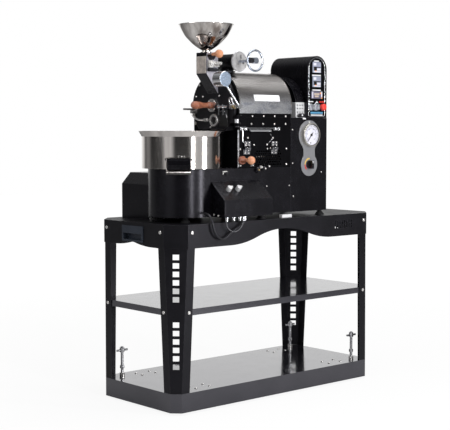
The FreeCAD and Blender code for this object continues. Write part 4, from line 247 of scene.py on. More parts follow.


# edge colour of the black paints: wear and painted highlight
WORN_AND_HIGHLIT_EDGE = (0.20, 0.20, 0.23)
looks = {
    "powder": Look((0.0016, 0.0015, 0.0022), (0.003, 0.0028, 0.004), (0.36, 0.46), grain=1100, bump=0.3,
        edge=WORN_AND_HIGHLIT_EDGE, edge_rough=0.3, specular=0.3),
    "shelf": Look((0.01, 0.01, 0.014), (0.018, 0.017, 0.022), (0.12, 0.2), bump=0.08, edge=WORN_AND_HIGHLIT_EDGE,
        coat=0.6, specular=1),
    "satin": Look((0.0012, 0.0011, 0.0018), (0.002, 0.0018, 0.003), (0.22, 0.3), grain=1300,
        edge=WORN_AND_HIGHLIT_EDGE, edge_rough=0.3, specular=0.36),
    "hot": Look((0.0007, 0.0007, 0.001), (0.0015, 0.0015, 0.002), (0.4, 0.5), grain=1000,
        edge=(0.06, 0.06, 0.065), edge_share=0.3, specular=0.06),
    "cast": Look((0.002, 0.002, 0.0024), (0.006, 0.0055, 0.0065), (0.3, 0.44), grain=420, depth=0.0003,
        bump=0.45, edge=(0.2, 0.2, 0.22), edge_share=0.35, edge_rough=0.3, specular=0.3, radius=0.0015),
    "chrome": Look((0.86, 0.87, 0.9), (0.78, 0.79, 0.83), (0.06, 0.14), metal=1, grain=300, bump=0.04,
        ripple=(30, 1.5), radius=0.0005),
    # the bluish-grey colour of this chrome is painted reflection
    "bluish_reflection_chrome": Look((0.42, 0.5, 0.62), (0.26, 0.33, 0.44), (0.2, 0.3), metal=0.8, patch=60, grain=400,
        bump=0.1, ripple=(60, 2), radius=0.0005),
    # mirror and bowl: the darker second colour, stretched into upright streaks, is painted reflection
    # bands
    "mirror": Look((0.82, 0.78, 0.75), (0.46, 0.43, 0.42), (0.09, 0.17), metal=1, patch=11, grain=500,
        depth=0.0004, bump=0.05, stretch=(1, 1, 0.05), ripple=(9, 4), radius=0.0004, streaks=True),
    "bowl": Look((0.88, 0.84, 0.81), (0.2, 0.17, 0.155), (0.05, 0.12), metal=1, patch=15, grain=500,
        depth=0.0004, bump=0.05, stretch=(1, 1, 0.12), ripple=(9, 4), radius=0.0004, streaks=True),
    "mottled": Look((0.78, 0.79, 0.82), (0.26, 0.27, 0.31), (0.18, 0.34), metal=1, patch=42,
        stretch=(0.4, 1, 1), radius=0.0004, streaks=True),
    "brushed": Look((0.86, 0.83, 0.81), (0.4, 0.37, 0.36), (0.14, 0.28), metal=1, patch=20, bump=0.12,
        stretch=(0.12, 1, 1), ripple=(14, 2.5), radius=0.0004, streaks=True),
    "zinc": Look((0.66, 0.66, 0.68), (0.5, 0.5, 0.53), (0.2, 0.36), metal=1, patch=40, grain=600,
        radius=0.0005),
    "screw": Look((0.9, 0.88, 0.86), (0.8, 0.78, 0.77), (0.22, 0.32), metal=0.75, patch=60, grain=600,
        bump=0.1, radius=0.0003),
    "alloy": Look((0.72, 0.73, 0.78), (0.6, 0.61, 0.67), (0.26, 0.38), metal=0.9, patch=30, grain=800,
        bump=0.15, radius=0.0005),
    "champagne": Look((0.62, 0.6, 0.55), (0.5, 0.48, 0.44), (0.24, 0.36), metal=0.85, patch=30,
        bump=0.12),
    "plate": Look((0.31, 0.31, 0.33), (0.26, 0.26, 0.28), (0.3, 0.42), metal=0.5, bump=0.15,
        stretch=(1, 1, 0.05), edge=(0.75, 0.75, 0.77), edge_share=0.9, edge_rough=0.2, radius=0.0016),
    "bronze": Look((0.8, 0.72, 0.66), (0.55, 0.49, 0.45), (0.3, 0.42), metal=0.6, patch=70, grain=700,
        bump=0.25, stretch=(1, 1, 0.1), edge=(0.85, 0.82, 0.8), edge_share=0.8, radius=0.001),
    "lilac": Look((0.46, 0.45, 0.5), (0.32, 0.31, 0.36), (0.34, 0.46), metal=0.3, patch=30,
        edge=(0.8, 0.8, 0.84), edge_share=0.8, radius=0.0012),
    "nickel": Look((0.88, 0.86, 0.85), (0.68, 0.66, 0.66), (0.16, 0.28), metal=0.9, patch=30, grain=500,
        bump=0.04, radius=0.0005),
    "steel": Look((0.34, 0.34, 0.36), (0.2, 0.2, 0.22), (0.2, 0.32), metal=1, patch=60, grain=500,
        bump=0.1, edge=(0.8, 0.8, 0.82), edge_share=0.8, radius=0.0006),
    "disc": Look((0.4, 0.39, 0.39), (0.62, 0.61, 0.61), (0.3, 0.4), metal=0.4, patch=25, grain=800,
        bump=0.1, edge=(0.8, 0.8, 0.82), edge_share=0.7, radius=0.001),
    # the bluish-grey colour of the handwheel's chrome is painted reflection
    "wheel": Look((0.52, 0.56, 0.64), (0.36, 0.4, 0.48), (0.14, 0.24), metal=1, patch=40, grain=600,
        bump=0.05, radius=0.0005),
    "bare": Look((0.86, 0.86, 0.87), (0.76, 0.76, 0.78), (0.28, 0.4), metal=0.5, patch=30, grain=800,
        bump=0.1, radius=0.0005),
    "heat": Look((0.3, 0.24, 0.2), (0.42, 0.4, 0.4), (0.3, 0.5), metal=1, patch=25, grain=500, bump=0.25),
    "rubber": Look((0.008, 0.008, 0.008), (0.014, 0.014, 0.014), (0.55, 0.7), bump=0.3,
        speck=(900, 0.08, (0.05, 0.05, 0.05)), specular=0.3),
    "plastic": Look((0.004, 0.004, 0.005), (0.007, 0.007, 0.008), (0.22, 0.32), grain=1500, bump=0.15,
        edge=(0.1, 0.1, 0.11)),
    # the bluish tint of the pulls is painted reflection
    "pull": Look((0.018, 0.024, 0.034), (0.026, 0.033, 0.046), (0.3, 0.4), grain=1400,
        edge=(0.16, 0.18, 0.22), edge_share=0.5),
    "enamel": Look((0.06, 0.064, 0.07), (0.09, 0.094, 0.1), (0.3, 0.42), grain=500, edge=(0.3, 0.3, 0.3),
        edge_share=0.5),
    "red": Look((0.78, 0.05, 0.035), (0.66, 0.035, 0.025), (0.2, 0.3), grain=1200, bump=0.08, coat=0.4),
    "white": Look((0.86, 0.86, 0.88), (0.8, 0.8, 0.83), (0.3, 0.4), grain=1200, bump=0.06),
    "dial": Look((0.8, 0.79, 0.86), (0.72, 0.71, 0.8), (0.2, 0.3), patch=40, grain=1200, bump=0.04,
        coat=0.5),
    "print": Look((0.1, 0.09, 0.14), (0.14, 0.13, 0.19), (0.4, 0.5), grain=1200, bump=0.04),
    "bluish": Look((0.34, 0.36, 0.46), (0.27, 0.29, 0.38), (0.25, 0.35), grain=1200, bump=0.08, coat=0.3),
    "beige": Look((0.52, 0.43, 0.34), (0.44, 0.36, 0.28), (0.3, 0.4), bump=0.05, glow=0.25),
    "amber": Look((0.95, 0.36, 0.07), (0.9, 0.3, 0.05), (0.3, 0.4), bump=0.05, glow=0.35),
    "yellow": Look((0.85, 0.62, 0.12), (0.8, 0.52, 0.1), (0.35, 0.45), grain=1200, bump=0.05),
    "blue": Look((0.1, 0.32, 0.52), (0.08, 0.26, 0.45), (0.3, 0.4), grain=1200, bump=0.06),
    "glass": Look((0.01, 0.009, 0.009), (0.016, 0.014, 0.013), (0.05, 0.1), grain=500, bump=0.02, coat=1),
    "brass": Look((0.58, 0.44, 0.25), (0.46, 0.33, 0.17), (0.22, 0.38), metal=1, patch=60, grain=700),
    "orange": Look((0.74, 0.35, 0.19), (0.6, 0.24, 0.115), (0.22, 0.32), patch=45, grain=260, bump=0.12,
        stretch=(1, 0.12, 1), coat=0.6),
    "walnut": Look((0.5, 0.2, 0.115), (0.28, 0.09, 0.05), (0.2, 0.34), patch=50, grain=260, bump=0.15,
        stretch=(0.12, 1, 1), coat=0.6),
    "cable": Look((0.006, 0.006, 0.007), (0.012, 0.012, 0.013), (0.35, 0.45), bump=0.12),
    "braid": Look((0.02, 0.02, 0.022), (0.05, 0.05, 0.055), (0.4, 0.55), grain=1500, bump=0.4,
        speck=(700, 0.45, (0.4, 0.4, 0.42))),
}
finishes = {name: make_finish(name, look) for name, look in looks.items()}

# a node with more than one finish changes from one to the next at a plane
zones = {
    "discharge_door": ("chrome", (Y, -265.4, BELOW, "bluish_reflection_chrome"), (Z, 548, BELOW, "chrome"),
                       (X, -235.8, ABOVE, "cast")),
    "burner_door": ("hot", (Y, -229.6, BELOW, "chrome")),
    "airflow_knob": ("orange", (Y, -254.6, ABOVE, "walnut")),
    "hopper_gate": ("zinc", (Y, -117, BELOW, "orange")),
    "exhaust_duct": ("satin", (Y, -149.5, BELOW, "disc")),
    "gauge": ("plate", (Y, -220.8, BELOW, "champagne")),
    "box_connectors": ("chrome", (X, 0, ABOVE, "white")),
    "hopper_neck": ("satin", (Y, -107.7, BELOW, "lilac"), (X, -292.05, BELOW, "bronze")),
    "face_plate": ("cast", (Y, -214.8, BELOW, "zinc")),
    "burner_housing": ("hot", (Y, -217.8, BELOW, "steel"), (Z, 390, ABOVE, "hot")),
    "drum_cover": ("brushed", (Z, 515, BELOW, "mottled", 0.03)),
    "drive_guard": ("satin", (Z, 497, BELOW, "bare")),
}

node_finishes = {
    "powder": ["stand_top", "legs"],
    "shelf": ["middle_shelf", "lower_shelf"],
    "pull": ["pull_handles"],
    "screw": ["stand_hardware"],
    "nickel": ["plate_fittings"],
    "wheel": ["damper_wheel"],
    "bare": ["box_knob_left", "box_knob_right"],
    "zinc": ["stirrer"] + [f"{part}_{i}" for part in ("caster_fork", "jack_screw") for i in range(1, 5)],
    "rubber": ["machine_feet", "drive_belt"] + [f"caster_wheel_{i}" for i in range(1, 5)],
    "satin": ["base_housing", "fan_box", "control_box", "control_tower", "arch_box", "bin_flap"],
    "mirror": ["cooling_bin"],
    "bowl": ["hopper"],
    "hot": ["control_panel"],
    "brushed": ["bin_screen"],
    "heat": ["burner_tubes", "drum"],
    "enamel": ["drive_motors"],
    "alloy": ["motor_pulley", "fan_impeller", "switch_left", "switch_right"],
    "walnut": ["trier"],
    "red": ["stop_button"],
    "plastic": ["gauge_needle", "gas_knob"],
}


def paint(name, material):
    slots = nodes[name].data.materials
    slots.clear()
    slots.append(material)


def paint_nodes():
    for kind, names in node_finishes.items():
        for name in names:
            paint(name, finishes[kind])
    for name, (kind, *others) in zones.items():
        paint(name, make_finish(name + "_finish", looks[kind], *others))


# ---------------- cords
CORD_ORDER = 3  # how softly the curve follows its points
CORD_ROUNDNESS = 6  # extra points in each quarter round the cord
CORD_STEPS = 16  # steps from one point of the route to the next


def make_cord(name, node, points, radius, kind):
    """Round cord along its route; it stands for the CAD node."""
    curve = bpy.data.curves.new(name, "CURVE")
    curve.dimensions = "3D"
    spline = curve.splines.new("NURBS")
    places = [at(*point) for point in points]
    spline.points.add(len(places) - 1)
    for point, place in zip(spline.points, places):
        point.co = (*place, 1)
    spline.order_u = CORD_ORDER
    spline.use_endpoint_u = True
    curve.bevel_depth = mm(radius)
    curve.bevel_resolution = CORD_ROUNDNESS
    curve.resolution_u = CORD_STEPS
    curve.materials.append(finishes[kind])
    made = add(name, curve)
    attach(made, "root")
    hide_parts(node)


cable_points = [
    (-414, -228, 40), (-414, -248, 39), (-414, -269, 30), (-413, -282, 9), (-410, -285, -15),
    (-402, -286, -38), (-387, -286, -56), (-365, -285, -66), (-341, -284, -61), (-319, -283, -46),
    (-296, -283, -32), (-272, -283, -22), (-249, -283, -11), (-236, -283, 5),
]
lead_points = [
    (-341, -288, 5), (-342, -289, -6), (-339, -291, -19), (-327, -293, -31), (-311, -294, -38),
    (-293, -294, -38), (-276, -293, -31), (-262, -291, -20), (-253, -289, -8), (-250, -288, 4),
]


# ---------------- small parts
SHARP = radians(35)  # an edge that bends more than this is shaded as a corner
STEEP = 0.9  # an axis that rises more than this counts as upright
SUNK = 0.4  # how deep a screw's head is set into its face


def around(middle, across, other, angle, reach):
    """Point of a circle; across and other are its two directions."""
    return middle + (across * cos(angle) + other * sin(angle)) * reach


def on_face(place, y):
    """Point at y of a place that is given as x and height."""
    return (place[0], y, place[1])


class Piece:
    """Small part made of closed bodies; all its places and sizes are in mm."""

    def __init__(self):
        self.mesh = bmesh.new()

    def vertex(self, point):
        return self.mesh.verts.new(at(*point))

    def join(self, a, b):
        """Faces between two rings of vertices, or between a ring and a point."""
        count = max(len(a), len(b))
        for i in range(count):
            j = i + 1
            corners = [a[i % len(a)], a[j % len(a)], b[j % len(b)], b[i % len(b)]]
            self.mesh.faces.new(list(dict.fromkeys(corners)))

    def skin(self, rings, loop=False):
        """Closed body through rings of vertices."""
        for a, b in zip(rings, rings[1:]):
            self.join(a, b)
        if loop:
            self.join(rings[-1], rings[0])
            return
        for ring in (rings[0], rings[-1]):
            if len(ring) > 1:
                self.mesh.faces.new(ring)

    def turn(self, place, axis, profile, sides=32, loop=False):
        """Turned body, closed at its ends or, as a loop, with a hole right through.

        Its profile has (along, radius), and a third value gives a ring with corners.
        """
        if not loop:
            ends = [[(along, 0)] if radius else [] for along, radius, *_ in (profile[0], profile[-1])]
            profile = ends[0] + profile + ends[1]
        axis = Vector(axis).normalized()
        across = UP if abs(axis.z) < STEEP else Vector(RIGHT)
        across = (across - axis * across.dot(axis)).normalized()
        other = axis.cross(across)
        rings = []
        for along, radius, *corners in profile:
            middle = Vector(place) + axis * along
            if radius == 0:
                rings.append([self.vertex(middle)])
                continue
            ring = []
            for i in range(sides):
                angle = tau * i / sides
                reach = radius
                if corners:
                    half = pi / corners[0]
                    reach = radius * cos(half) / cos(angle % (2 * half) - half)
                ring.append(self.vertex(around(middle, across, other, angle, reach)))
            rings.append(ring)
        self.skin(rings, loop)

    def hoop(self, place, axis, inner, outer, thick, edge, sides=48):
        """Flat ring with softened edges; thick is how far it stands out along the axis."""
        profile = [(0, inner), (thick - edge, inner), (thick, inner + edge), (thick, outer - edge),
                   (thick - edge, outer), (0, outer)]
        self.turn(place, axis, profile, sides, loop=True)

    def slab(self, outline, deep, bevel, segments=2):
        """Outline pushed along a vector, with its edges bevelled."""
        near = [self.vertex(point) for point in outline]
        far = [self.vertex(Vector(point) + Vector(deep)) for point in outline]
        self.skin([near, far])
        edges = list(dict.fromkeys(edge for vertex in near + far for edge in vertex.link_edges))
        bmesh.ops.bevel(self.mesh, geom=edges, offset=mm(bevel), segments=segments, affect="EDGES",
                        clamp_overlap=True)

    def block(self, x, y, height, bevel):
        """Box between two values of x, of y and of height."""
        (left, right), (front, rear), (foot, top) = x, y, height
        outline = [(left, front, foot), (right, front, foot), (right, front, top), (left, front, top)]
        self.slab(outline, (0, rear - front, 0), bevel)

    def tube(self, points, radius, sides, soften=0, loop=False):
        """Round bar along points; soften rounds its bends."""
        path = [Vector(point) for point in points]
        for _ in range(soften):
            eased = [path[0]]
            for a, b in zip(path, path[1:]):
                eased += [a.lerp(b, 0.25), a.lerp(b, 0.75)]
            path = eased + [path[-1]]
        across = None
        rings = []
        last = len(path) - 1
        angles = [tau * k / sides for k in range(sides)]
        for i, point in enumerate(path):
            if loop:
                ahead = path[(i + 1) % len(path)] - path[i - 1]
            else:
                ahead = path[min(i + 1, last)] - path[max(i - 1, 0)]
            ahead.normalize()
            across = across or ahead.orthogonal()
            across = (across - ahead * across.dot(ahead)).normalized()
            other = ahead.cross(across)
            rings.append([self.vertex(around(point, across, other, angle, radius)) for angle in angles])
        self.skin(rings, loop)

    def screw(self, place, axis=FRONT, radius=4.3):
        """Button-head screw with a six-sided socket."""
        high, mouth = radius * 0.62, radius * 0.36
        head = [(-SUNK, radius), (high * 0.3, radius), (high * 0.7, radius * 0.88),
                (high * 0.95, radius * 0.66), (high, mouth)]
        socket = [(high, mouth * 0.9, 6), (high * 0.4, mouth * 0.9, 6)]
        self.turn(place, axis, head + socket, 24)

    def arc_sheet(self, x, radius, thick, angles, centre, steps):
        """Curved sheet about an axis along X; angles run from the front over the top."""
        (left, right), (start, end), (y, height) = x, angles, centre
        corners = [(left, radius), (right, radius), (right, radius + thick), (left, radius + thick)]
        rings = []
        for k in range(steps + 1):
            angle = radians(start + (end - start) * k / steps)
            back, rise = -cos(angle), sin(angle)
            rings.append([self.vertex((side, y + reach * back, height + reach * rise))
                          for side, reach in corners])
        self.skin(rings)

    def done(self, name, kind, body="root"):
        """Adds the part to the scene on its body, with its finish."""
        bmesh.ops.recalc_face_normals(self.mesh, faces=self.mesh.faces)
        for face in self.mesh.faces:
            face.smooth = True
        for edge in self.mesh.edges:
            edge.smooth = edge.calc_face_angle(0) < SHARP
        data = bpy.data.meshes.new(name)
        self.mesh.to_mesh(data)
        self.mesh.free()
        data.materials.append(finishes[kind])
        made = add(name, data)
        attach(made, body)


# ---------------- fittings of the body
COVER_RADIUS = 145.0
DRUM_HEIGHT = 478.0
OVER_DRUM = (AXIS_Y, DRUM_HEIGHT)
BOX_FACE = -364  # left face of the control box
ROW_SCREWS = 5
FRONT_ROWS = ((-205.6, 66.9, 402), (-198.1, 64.9, 435))  # first x, pitch and height
SLANTED = (0.4, -0.8, 0.35)  # direction of the nipple beside the taps
BIG_TAP, SMALL_TAP = (-106, 208), (-68.8, 213)  # x and height


def make_body_screws():
    """Screws on the front of the body and on the control box, and one slanted nipple."""
    piece = Piece()
    for i in range(ROW_SCREWS):
        for first, pitch, height in FRONT_ROWS:
            piece.screw((first + pitch * i, BODY_FRONT, height))
    for x, height in ((-203.7, 296.8), (66.7, 296.7), (67, 229.8), (-201.8, 228.2), (-34.1, 222.6)):
        piece.screw((x, BODY_FRONT, height))
    for x, height in ((104, 377.5), (106, 233), (286, 190), (-48.1, 137.3), (86.2, 136.7), (111.4, 87.8)):
        piece.screw((x, BODY_FRONT, height), radius=3.1)
    for y, height in ((-236, 31), (-262, 28)):
        piece.screw((BOX_FACE, y, height), LEFT, 3.6)
    for x, height in ((-45.3, 297.8), (-28.6, 298.8)):
        piece.screw((x, BODY_FRONT, height), radius=3.2)
    for x in (-176.1, -157.1, -20.7, 1.1):
        for height in (280, 290.5):
            piece.screw((x, BODY_FRONT - 3, height), radius=3.2)
    piece.turn((-141, BODY_FRONT, 226), SLANTED, [(-1, 3), (8, 3), (8, 5, 6), (13, 5, 6)])
    piece.done("body_screws", "screw")


def make_body_strips():
    """Lower edge of the drum cover and the bare strip down the left corner."""
    piece = Piece()
    piece.block((-207, 95), (BODY_FRONT - 1.2, BODY_FRONT), (428.5, 445), 0.4)
    piece.done("cover_flange", "hot")
    piece = Piece()
    piece.block((-217, -209.5), (BODY_FRONT - 1.4, BODY_FRONT - 0.1), (221, 376), 0.4)
    piece.done("corner_strip", "zinc")


def make_base_fittings():
    """Gas taps and the small latch on the front of the base."""
    piece = Piece()
    for tap, radius in ((BIG_TAP, 12.5), (SMALL_TAP, 10.5)):
        ring = [(0, radius), (9, radius), (12, radius - 2.5), (12, radius - 6), (8, radius - 6.5)]
        piece.turn(on_face(tap, BODY_FRONT), FRONT, ring)
    piece.hoop((-284, BODY_FRONT - 6, 198), FRONT, 3, 7.5, 4, 0.8)
    piece.done("tap_rings", "plastic")
    piece = Piece()
    piece.turn(on_face(BIG_TAP, BODY_FRONT - 8), FRONT, [(0, 4.6), (6, 4.6), (8, 3)])
    piece.done("tap_core", "brass")
    piece = Piece()
    piece.turn(on_face(SMALL_TAP, BODY_FRONT - 8), FRONT, [(0, 3.8), (6, 3.8), (7.5, 2.5)])
    piece.turn((-89, BODY_FRONT, 220), FRONT, [(0, 6.5, 6), (8, 6.5, 6), (8, 4), (14, 4)])
    piece.block((-304, -278), (BODY_FRONT - 6, BODY_FRONT), (202, 207.5), 1.2)
    piece.screw((-298, BODY_FRONT, 196), radius=3.2)
    piece.done("tap_nuts", "screw")


def add_catch(piece, x, face, thick, height, middle):
    """Half of a door catch: a block on a face, with a domed button."""
    piece.block(x, (face - thick, face), height, 1.6)
    button = [(0, 5), (2, 4.6), (3.4, 3), (4, 0)]
    piece.turn(((x[0] + x[1]) / 2, face - thick + 0.1, middle), FRONT, button, 24)


def make_burner_door_parts():
    """Hinge leaves, catches, rods and screws; the outer half of each catch stays on the housing."""
    door_front, boss_front = BODY_FRONT - 3.3, BODY_FRONT - 6.3
    leaf_front = boss_front - 1.5
    piece = Piece()
    for x in ((-184.5, -149.5), (-25.5, 7.5)):
        piece.block(x, (leaf_front, boss_front), (307.5, 328.5), 0.5)
    piece.done("burner_door_leaves", "steel", "burner_door")
    piece = Piece()
    for x in (-176, -158, -18.5, 0.5):
        for height in (313, 323.5):
            piece.screw((x, leaf_front, height), radius=3.2)
    for x, y, height in ((-162.3, door_front, 343.8), (-18.7, boss_front, 343.6),
                         (-126.4, door_front, 314.5), (-54.3, boss_front, 315)):
        piece.screw((x, y, height))
    piece.done("burner_door_screws", "screw", "burner_door")
    piece = Piece()
    piece.tube([(-163, door_front - 1.2, 384.4), (-18, door_front - 1.2, 384.4)], 1.1, 10)
    piece.tube([(-22.6, boss_front - 0.8, 340), (-45.5, boss_front - 0.8, 321)], 1.2, 10)
    piece.tube([(-37.5, boss_front - 0.5, 361), (-27.6, boss_front - 0.5, 351)], 0.8, 10)
    for x in ((-184.6, -165), (-17, 8.8)):
        add_catch(piece, x, door_front, 4.5, (374.5, 387.5), 381)
    piece.done("burner_door_trim", "chrome", "burner_door")
    piece = Piece()
    for x in ((-206.5, -188), (11.8, 25.5)):
        add_catch(piece, x, BODY_FRONT, 6, (374, 388.5), 381.5)
    rod = (-189.8, BODY_FRONT - 1.5)
    piece.tube([(*rod, 325), (*rod, 374)], 1.4, 10)
    piece.done("door_catches", "chrome")


def make_cover_parts():
    """End bands of the drum cover and its bare plate with two rivets."""
    plate_angles, plate_thick = (7.8, 18.6), 1.6
    piece = Piece()
    for x in ((-207, -203.5), (92.5, 96)):
        piece.arc_sheet(x, COVER_RADIUS, 0.9, (0, 180), OVER_DRUM, 64)
    piece.done("cover_bands", "mirror")
    piece = Piece()
    piece.arc_sheet((-122.5, 25.7), COVER_RADIUS, plate_thick, plate_angles, OVER_DRUM, 8)
    piece.done("cover_plate", "white")
    piece = Piece()
    angle = radians(sum(plate_angles) / 2)
    outward = (0, -cos(angle), sin(angle))
    reach = COVER_RADIUS + plate_thick
    for x in (-116, 19):
        piece.screw((x, AXIS_Y + outward[Y] * reach, DRUM_HEIGHT + outward[Z] * reach), outward, 2.2)
    piece.done("cover_plate_rivets", "zinc")


def make_guard_parts():
    """Grip on the drive guard, with its white cap and tab."""
    grip_face = -222
    piece = Piece()
    outline = [(142, 434), (150, 448), (172, 449), (181, 440), (178, 433), (160, 431)]
    piece.slab([on_face(place, grip_face) for place in outline], (0, 14, 0), 2.0, 3)
    piece.done("guard_knob", "plastic")
    piece = Piece()
    piece.turn((160, grip_face, 441), FRONT, [(0, 4), (1.5, 3.6), (2.2, 0)], 24)
    piece.block((166, 186), (-221, -217.6), (422.5, 429.5), 1.4)
    piece.done("guard_knob_trim", "white")


# ---------------- control panel
PANEL_FACE = -217.0
MODULE_FACE = -220.0
MODULE_THICK = 1.4
BEAD_X = (203.2, 304.6)
BEAD_LOW, BEAD_SPRING = 436.5, 643.5  # heights of its lower edge and of the start of its arch
BEAD_CORNER = 9.0
CONTROLLERS = (651.5, 588.5)  # heights of their middles
SWITCHES = {"left": 216, "right": 249}  # x of their middles
SWITCH_HEIGHT = 477


def bead_path():
    """Round the panel: over the arch and round the two lower corners."""
    middle, half = (BEAD_X[0] + BEAD_X[1]) / 2, (BEAD_X[1] - BEAD_X[0]) / 2
    arch_steps, corner_steps = 24, 6
    y = PANEL_FACE - 1.0
    points = []
    for k in range(arch_steps + 1):
        angle = pi * k / arch_steps
        points.append((middle + half * cos(angle), y, BEAD_SPRING + half * sin(angle)))
    height = BEAD_LOW + BEAD_CORNER
    for x, start in ((BEAD_X[0] + BEAD_CORNER, 180), (BEAD_X[1] - BEAD_CORNER, 270)):
        for k in range(corner_steps + 1):
            angle = radians(start + 90 / corner_steps * k)
            points.append((x + BEAD_CORNER * cos(angle), y, height + BEAD_CORNER * sin(angle)))
    return points


def make_tiles(name, kind, face, thick, places, bevel=0.3):
    """Flat blocks on the panel; places hold two values of x and two heights."""
    piece = Piece()
    for left, right, foot, top in places:
        piece.block((left, right), (face - thick, face), (foot, top), bevel)
    piece.done(name, kind)


def make_panel_bead():
    piece = Piece()
    piece.tube(bead_path(), 1.5, 12, loop=True)
    for x, height in ((BEAD_X[0], 587), (BEAD_X[1], 587), (253.9, 694.2)):
        piece.screw((x, PANEL_FACE, height), radius=3.0)
    piece.done("panel_bead", "chrome")


def make_panel_strips():
    """Bare strips where the panel carries lettering."""
    make_tiles("panel_labels", "white", PANEL_FACE, 0.6,
               [(236.9, 266.8, 674.6, 681.7), (224.4, 279.7, 613.5, 619.2), (227.4, 279.2, 549, 554.6)])
    make_tiles("panel_marks", "white", PANEL_FACE, 0.5,
               [(207, 233, 498.5, 503), (207, 211, 494.5, 498.5), (217.7, 291.8, 439.5, 444.6)])
    make_tiles("panel_red", "red", PANEL_FACE, 0.5,
               [(270, 284, 497.5, 503.5), (286, 300, 497.5, 503.5)])
    make_tiles("panel_blue", "blue", PANEL_FACE, 0.5, [(216, 293.5, 448, 456.4)])


def make_panel_modules():
    """Faces of the two temperature controllers and of the timer."""
    bezels, screens, glass, amber = [], [], [], []
    for middle in CONTROLLERS:
        bezels.append((223.5, 276.5, middle - 24, middle + 23.5))
        glass += [(229, 274, middle - 1.5, middle + 2.5), (231, 250, middle - 14.5, middle - 1.5)]
        screens += [(251.5, 274, middle - 13.5, middle - 4.5), (230, 274, middle - 22, middle - 16),
                    (229, 247, middle + 8, middle + 19)]
        amber.append((241, 246, middle - 18.5, middle - 13.5))
    screen_thick = 0.6
    make_tiles("controller_bezels", "bluish", MODULE_FACE, MODULE_THICK, bezels, 0.9)
    make_tiles("timer_case", "print", MODULE_FACE, MODULE_THICK, [(214.5, 286, 514, 547)], 0.9)
    face = MODULE_FACE - MODULE_THICK
    make_tiles("module_glass", "glass", face, 0.5, glass)
    make_tiles("module_screens", "dial", face, screen_thick,
               screens + [(278, 285, 521, 545), (221, 228.5, 516, 545)])
    make_tiles("timer_display", "beige", face, screen_thick,
               [(233.7, 267, 530.5, 538), (238, 262, 520.7, 528)])
    make_tiles("module_buttons", "amber", face - screen_thick, 0.6,
               amber + [(270, 276.5, 535, 541), (278.5, 284.5, 514.6, 519)])


def make_switch_parts():
    """Arrow over the switches, their rings, and the mark that turns with each."""
    piece = Piece()
    arrow = [(243.5, 494), (255, 504), (266.5, 494), (260.5, 494), (255, 499), (249.5, 494)]
    piece.slab([on_face(place, PANEL_FACE) for place in arrow], (0, -0.5, 0), 0.1)
    piece.done("panel_arrow", "white")
    piece = Piece()
    for x in SWITCHES.values():
        piece.hoop((x, PANEL_FACE, SWITCH_HEIGHT), FRONT, 14.3, 16.2, 2.5, 0.5)
    piece.done("switch_bezels", "chrome")
    for side, x in SWITCHES.items():
        piece = Piece()
        piece.block((x - 1, x + 1), (-237.8, -237.1), (478, 489), 0.2)
        piece.done("switch_mark_" + side, "plastic", "switch_" + side)


# ---------------- gauge
GAUGE, GAS = (206.0, 355.0), (206.0, 225.0)  # x and height of their middles
DIAL_FACE = -232.5
CARD_THICK = 0.6
PRINT_FACE = DIAL_FACE - CARD_THICK
COLUMN_FACE = -220.5
SWEEP = (-135, 135)  # degrees from the top, from 0 to the last number
TICKS, NUMBERS = 50, 5  # spaces between them
LONG_TICK = 5  # each fifth tick is long


def dial_point(radius, degrees, y, middle=GAUGE):
    """Place on a dial; degrees clockwise from the top."""
    angle = radians(degrees)
    return (middle[0] + radius * sin(angle), y, middle[1] + radius * cos(angle))


def arc_band(piece, middle, inner, outer, degrees, y, thick, steps=20):
    """Flat curved band on a dial."""
    rings = []
    for k in range(steps + 1):
        turn = degrees[0] + (degrees[1] - degrees[0]) * k / steps
        ring = [(inner, y), (outer, y), (outer, y - thick), (inner, y - thick)]
        rings.append([piece.vertex(dial_point(radius, turn, depth, middle)) for radius, depth in ring])
    piece.skin(rings)


def make_gauge_parts():
    piece = Piece()
    piece.hoop(on_face(GAUGE, DIAL_FACE), FRONT, 6.0, 46.8, CARD_THICK, 0.2, 96)
    piece.done("gauge_dial", "dial")
    piece = Piece()
    arc_band(piece, GAUGE, 40.4, 41.0, SWEEP, PRINT_FACE, 0.25, 72)
    for k in range(TICKS + 1):
        inner, half = (37.6, 0.5) if k % LONG_TICK else (35.0, 0.9)
        turn = SWEEP[0] + (SWEEP[1] - SWEEP[0]) / TICKS * k
        arc_band(piece, GAUGE, inner, 40.6, (turn - half, turn + half), PRINT_FACE, 0.25, 2)
    piece.done("gauge_ticks", "plastic")
    piece = Piece()
    arc_band(piece, GAUGE, 29.5, 31.5, SWEEP, PRINT_FACE, 0.2, 72)
    piece.done("gauge_scale", "bluish")
    piece = Piece()
    piece.turn(dial_point(35, 186, PRINT_FACE), FRONT, [(0, 3), (0.8, 2.6)], 24)
    piece.hoop(on_face(GAUGE, DIAL_FACE - 3.6), FRONT, 44.6, 46.9, 1.6, 0.4, 96)
    piece.done("gauge_gasket", "plastic")
    for k in range(NUMBERS + 1):
        number = str(100 * k)
        turn = SWEEP[0] + (SWEEP[1] - SWEEP[0]) / NUMBERS * k
        make_number(number, dial_point(26.0, turn, PRINT_FACE), 5.0, "gauge_number_" + number)
    piece = Piece()
    piece.screw((205.7, COLUMN_FACE, 411), radius=3.6)
    piece.done("gauge_plate_screw", "screw")


def make_gas_parts():
    """Coloured arcs round the gas knob, and the pointer that turns with it."""
    for kind, degrees in (("yellow", (-88, 4)), ("red", (-138, -90))):
        piece = Piece()
        arc_band(piece, GAS, 23.5, 29.0, degrees, COLUMN_FACE, 0.5)
        piece.done("gas_arc_" + kind, kind)
    piece = Piece()
    grip_face = -244.8
    pointer = [(202.5, 241), (209, 239), (204.5, 228)]
    piece.slab([on_face(place, grip_face) for place in pointer], (0, -0.7, 0), 0.15)
    piece.done("gas_knob_pointer", "white", "gas_knob")


